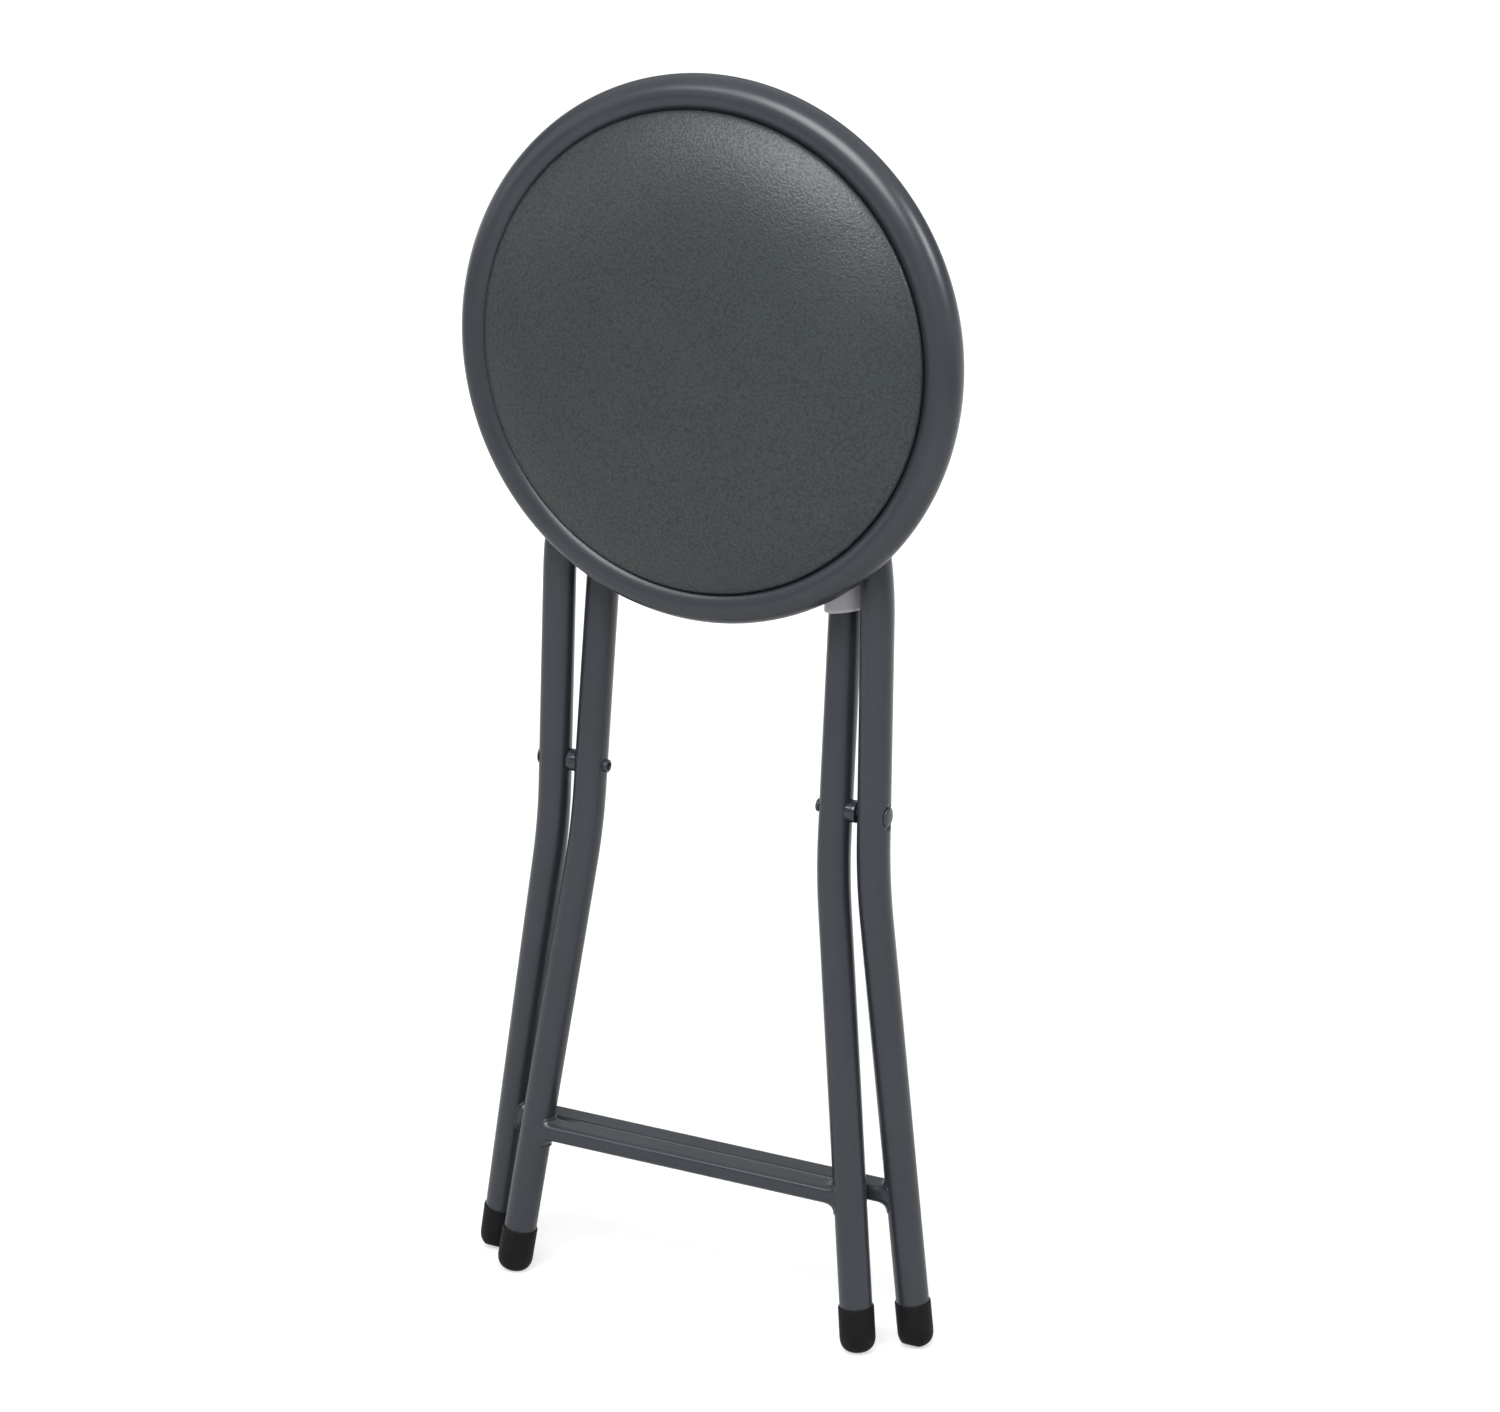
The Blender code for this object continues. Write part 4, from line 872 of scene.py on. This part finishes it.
def hingeStrap(x):
    reach = tubeR + touch + strapSet["thick"] / 2
    level = seatSet["hingeDepth"] + underBoard - strapSet["thick"] / 2
    flange = roundedLine([(-reach - strapSet["flange"], level), (-reach, level), (-reach, 0.0)], [strapSet["bend"]])
    a = np.linspace(math.pi, 2 * math.pi, 33)
    saddle = reach * np.stack([np.cos(a), np.sin(a)], axis=1)
    line = np.vstack([flange, saddle[1:-1], flange[::-1] * [-1.0, 1.0]])
    line, half = nosed(line, strapSet["width"] / 2, strapSet["nose"], both=True)
    points, quads = stripAlong(line, half, strapSet["thick"])
    return points + [x, 0.0, 0.0], quads


def arcAbout(centre, radius, first, last, steps):  # centre + R (cos a, sin a)
    a = np.linspace(first, last, steps)
    return centre + radius * np.stack([np.cos(a), np.sin(a)], axis=1)


def seatCatch():  # base plate and two notched walls about the inner top bar's place when the stool is open
    openLean = frameSet["lean"] + math.radians(joints["frame_fold"]["range_deg"][1])
    spread = seatSet["boardRadius"] + seatSet["setback"] - catchSet["barIn"]
    bar = np.array([spread, (innerLeg["rise"] - outerLeg["rise"]) * math.cos(openLean)])
    thick, near, far = catchSet["thick"], catchSet["near"], catchSet["far"]
    level = seatSet["hingeDepth"] + underBoard - thick / 2
    notch = tubeR + 2 * touch + sleeveSet["wall"]
    lip = notch + catchSet["lip"]
    end = (bar[0] + catchSet["baseFar"], level)
    outline = np.vstack([
        [(bar[0] - catchSet["wallNear"], level)], arcAbout(bar, lip, near, near, 1),
        arcAbout(bar, notch, near, far, 40), arcAbout(bar, lip, far, catchSet["lipEnd"], 12), [end]])
    base = np.array([(bar[0] - catchSet["baseNear"], level), end])
    line, half = nosed(base, catchSet["half"], catchSet["nose"])
    inside = catchSet["half"] - touch - thick
    walls = [plate(outline, -inside - thick, -inside), plate(outline, inside, inside + thick)]
    return [stripAlong(line, half, thick), *walls], bar


for number, degrees in enumerate(tabSet["turns"], start=1):
    tab = placed(lambda points: inSeat(around(points, math.radians(degrees))), *ringTab())
    settle(newPiece(f"ringTab.{number}", tab, coat), "seat", "coat", f"ring_tab_{number}")
for tag, side in bothSides:
    strap = placed(inHinge, hingeStrap(side * strapSet["out"]))
    settle(newPiece(f"hingeStrap.{tag}", strap, zinc), "seat", "zinc", f"hinge_strap_{tag}")
parts, catchBar = seatCatch()
settle(newPiece("seatCatch", placed(inHinge, *parts), zinc), "seat", "zinc", "seat_catch")
print("tabs, straps and catch done")


# screws: pan heads with a cross recess

screwSet = {
    "head": 3.6 * mm, "high": 2.3 * mm, "shank": 1.75 * mm, "length": 4.0 * mm, "tip": 6.0 * mm, "steps": 72,
    "slotHalf": 0.5 * mm, "slotReach": 1.9 * mm, "slotDeep": 1.3 * mm, "slotEdge": 0.2 * mm, "shelve": 0.9 * mm,
    "turn": 2.4,  # from each to the next
}


def panScrew(turn):  # head z = -h (1 - (r / R)^3)^(1/2), less a cross whose arms shelve towards their ends
    r = np.concatenate([np.linspace(0, 0.62, 18), np.linspace(0.66, 1, 14)]) * screwSet["head"]
    head = np.stack([r, -screwSet["high"] * np.sqrt(1 - (r / screwSet["head"]) ** 3)], axis=1)
    shank = [(screwSet["shank"], 0.0), (screwSet["shank"], screwSet["length"]), (0.0, screwSet["tip"])]
    points, quads = turned(np.vstack([head, shank]), screwSet["steps"])
    x, y = np.abs(points[..., 0]), np.abs(points[..., 1])
    arms = [
        smoothStep((screwSet["slotHalf"] - u) / screwSet["slotEdge"] + 0.5)
        * np.clip((screwSet["slotReach"] - v) / screwSet["shelve"], 0, 1) for u, v in ((x, y), (y, x))]
    points[..., 2] += screwSet["slotDeep"] * np.maximum(*arms) * (points[..., 2] < -0.2 * mm)
    c, s = math.cos(turn), math.sin(turn)
    return points.reshape(-1, 3) @ np.array([[c, s, 0], [-s, c, 0], [0, 0, 1.0]]), quads


tabScrewR = seatSet["boardRadius"] - tabSet["stepIn"] - tabSet["screwIn"]
tabScrews = [inSeat([(tabScrewR * math.cos(a), tabScrewR * math.sin(a), underBoard - tabSet["thick"])])[0]
    for a in np.radians(tabSet["turns"])]
strapY = tubeR + touch + strapSet["thick"] + (strapSet["flange"] - strapSet["thick"] / 2) / 2
strapZ = seatSet["hingeDepth"] + underBoard - strapSet["thick"]
strapScrews = [inHinge([(x * strapSet["out"], y * strapY, strapZ)])[0] for x in (-1, 1) for y in (-1, 1)]
catchY = catchBar[0] - catchSet["screwBack"]
catchZ = seatSet["hingeDepth"] + underBoard - catchSet["thick"]
catchScrews = [inHinge([(x * catchSet["screwOut"], catchY, catchZ)])[0] for x in (-1, 1)]
count = 0
for group, places in (("tab", tabScrews), ("strap", strapScrews), ("catch", catchScrews)):
    for number, place in enumerate(places, start=1):
        count += 1
        screw = placed(lambda points: inHinge(points) - hingeAt + place, panScrew(count * screwSet["turn"]))
        settle(newPiece(f"{group}Screw.{number}", screw, zinc), "seat", "zinc", f"{group}_screw_{number}")
print("screws done:", count)


# weld beads round the foot bars' ends

weldSet = {"bead": 1.1 * mm, "sunk": 0.7 * mm, "drop": 2.6 * mm, "steps": 160, "sides": 10}


def barWeld(leg, side):
    # loop where the bar's section meets the leg, ringed by a rippled bead half sunk in the corner
    rows, _ = footBar(leg)
    loop = rows[1] if side > 0 else rows[-2]
    loop = np.vstack([loop, loop[:1]])
    length = pathLength(loop)
    even = np.linspace(0, length[-1], weldSet["steps"] + 1)[:-1]
    loop = np.stack([np.interp(even, length, column) for column in loop.T], axis=1)
    out = (loop - loop.mean(axis=0)) * [0.0, 1.0, 1.0]
    out = (out / norm(out, axis=1)[:, None])[:, None]
    drops = np.round(length[-1] / weldSet["drop"])  # whole ones around the loop
    phase = even / length[-1] * 2 * math.pi
    radius = weldSet["bead"] * (1 + 0.09 * np.cos(drops * phase) + 0.1 * np.cos(5 * phase + 1))[:, None, None]
    t = evenAngles(weldSet["sides"])[:, None]
    ring = np.cos(t) * out + np.sin(t) * [1.0, 0.0, 0.0]
    points = loop[:, None] - weldSet["sunk"] * out + radius * ring
    return points, gridFaces(len(loop), len(t), closeRows=True, closeColumns=True)


for body, leg, put, _ in frames:
    beads = placed(put, *(barWeld(leg, side) for _, side in bothSides))
    settle(newPiece(f"{body}BarWelds", beads, coat), body, "coat")
print("welds done")


# the CAD node that stays

board = frame["nodes"]["seat_board"].data
board.materials.clear()
board.materials.append(plywood)
print("board finished")


# floor and studio light

stageSet = {
    "floorSize": 200.0,
    "ambient": 0.27,  # what the white room gives to diffuse light
    "inGloss": ((0.08, 1.0), (0.20, 0.27), (0.42, 0.28), (0.62, 0.78)),  # height, and how pale the room shows there
    "paperBounce": 0.4,  # how much of the light the floor gives back
    "paperInGloss": {"From Min": 0.4, "From Max": 1.8, "To Min": 0.11, "To Max": 1.0},  # white only behind the object
    "paperInView": {"From Min": 0.5, "From Max": 2.5, "To Min": 0.6, "To Max": 1.0},  # whiter away from the lamps
    "paperShades": (0.67, 0.5),  # how much of the shadow is kept in gloss and in view
    "lamps": (  # name, place from the ring's middle, width, height, power, whether it shows in gloss
        ("front softbox", (0.27, -1.77, 1.60), 1.7, 1.2, 62.0, True),
        ("side softbox", (1.86, -0.13, 1.17), 0.75, 0.75, 20.0, True),
        ("left softbox", (-1.05, -1.75, 1.50), 0.60, 0.60, 6.5, True),
        ("left panel", (-1.75, -1.20, 0.60), 1.40, 1.20, 3.6, True),
        ("back fill", (-0.90, 2.20, 1.30), 1.8, 1.4, 24.0, False),
    ),
}


def grey(level):
    return (level, level, level, 1.0)


def byRay(tree, plain, inGloss, inView):  # a shader for light, one for glossy rays and one for the camera
    path = addNode(tree, "LightPath")
    seen = addNode(tree, "Math", {
        0: path.outputs["Is Camera Ray"], 1: path.outputs["Is Transmission Ray"]}, operation="MAXIMUM")
    unseen = addNode(tree, "MixShader", {0: path.outputs["Is Glossy Ray"], 1: plain, 2: inGloss})
    return addNode(tree, "MixShader", {0: seen, 1: unseen, 2: inView})


floorMesh = bpy.data.meshes.new("floor")
half = stageSet["floorSize"] / 2
floorMesh.from_pydata([(-half, -half, 0), (half, -half, 0), (half, half, 0), (-half, half, 0)], [], [(0, 1, 2, 3)])
floor = bpy.data.objects.new("floor", floorMesh)
scene.collection.objects.link(floor)

paper = bpy.data.materials.new("white paper floor")
paper.use_nodes = True
tree = paper.node_tree
tree.nodes.clear()
place = addNode(tree, "TexCoord").outputs["Object"]
axes = addNode(tree, "SeparateXYZ", {"Vector": place})
away = addNode(tree, "VectorMath", {0: place}, operation="LENGTH")
sweep = addNode(tree, "MapRange", {"Value": axes.outputs["Y"], **stageSet["paperInGloss"]})
glow = addNode(tree, "MapRange", {"Value": away.outputs["Value"], **stageSet["paperInView"]})
layers = [addNode(tree, "BsdfDiffuse", {"Color": grey(stageSet["paperBounce"])})]
for strength, shade in zip((sweep, glow), stageSet["paperShades"]):  # white by its own glow
    light = addNode(tree, "Emission", {"Color": grey(1.0), "Strength": strength})
    sheet = addNode(tree, "BsdfDiffuse", {"Color": grey(shade)})
    layers.append(addNode(tree, "AddShader", {0: light, 1: sheet}))
addNode(tree, "OutputMaterial", {"Surface": byRay(tree, *layers)})
floorMesh.materials.append(paper)

world = bpy.data.worlds.new("white studio")
scene.world = world
world.use_nodes = True
tree = world.node_tree
tree.nodes.clear()
facing = addNode(tree, "TexCoord")
rise = addNode(tree, "SeparateXYZ", {"Vector": facing.outputs["Generated"]})
graded = addNode(tree, "ValToRGB", {"Fac": rise.outputs["Z"]},
    stops=[(height, grey(level)) for height, level in stageSet["inGloss"]])
room = addNode(tree, "Background", {"Color": grey(1.0), "Strength": stageSet["ambient"]})
pale = addNode(tree, "Background", {"Color": graded, "Strength": 1.0})
white = addNode(tree, "Background", {"Color": grey(1.0), "Strength": 1.0})
addNode(tree, "OutputWorld", {"Surface": byRay(tree, room, pale, white)})

ringMiddle = Vector(inSeat([(0.0, 0.0, 0.0)])[0])
for name, offset, width, height, power, glossy in stageSet["lamps"]:
    lamp = bpy.data.lights.new(name, "AREA")
    lamp.shape = "RECTANGLE"
    lamp.size, lamp.size_y, lamp.energy = width, height, power
    holder = bpy.data.objects.new(name, lamp)
    holder.visible_glossy = glossy
    scene.collection.objects.link(holder)
    holder.location = ringMiddle + Vector(offset)
    holder.rotation_euler = (-Vector(offset)).to_track_quat("-Z", "Y").to_euler()

bpy.context.scene.view_settings.view_transform = "Standard"
print("stage done")
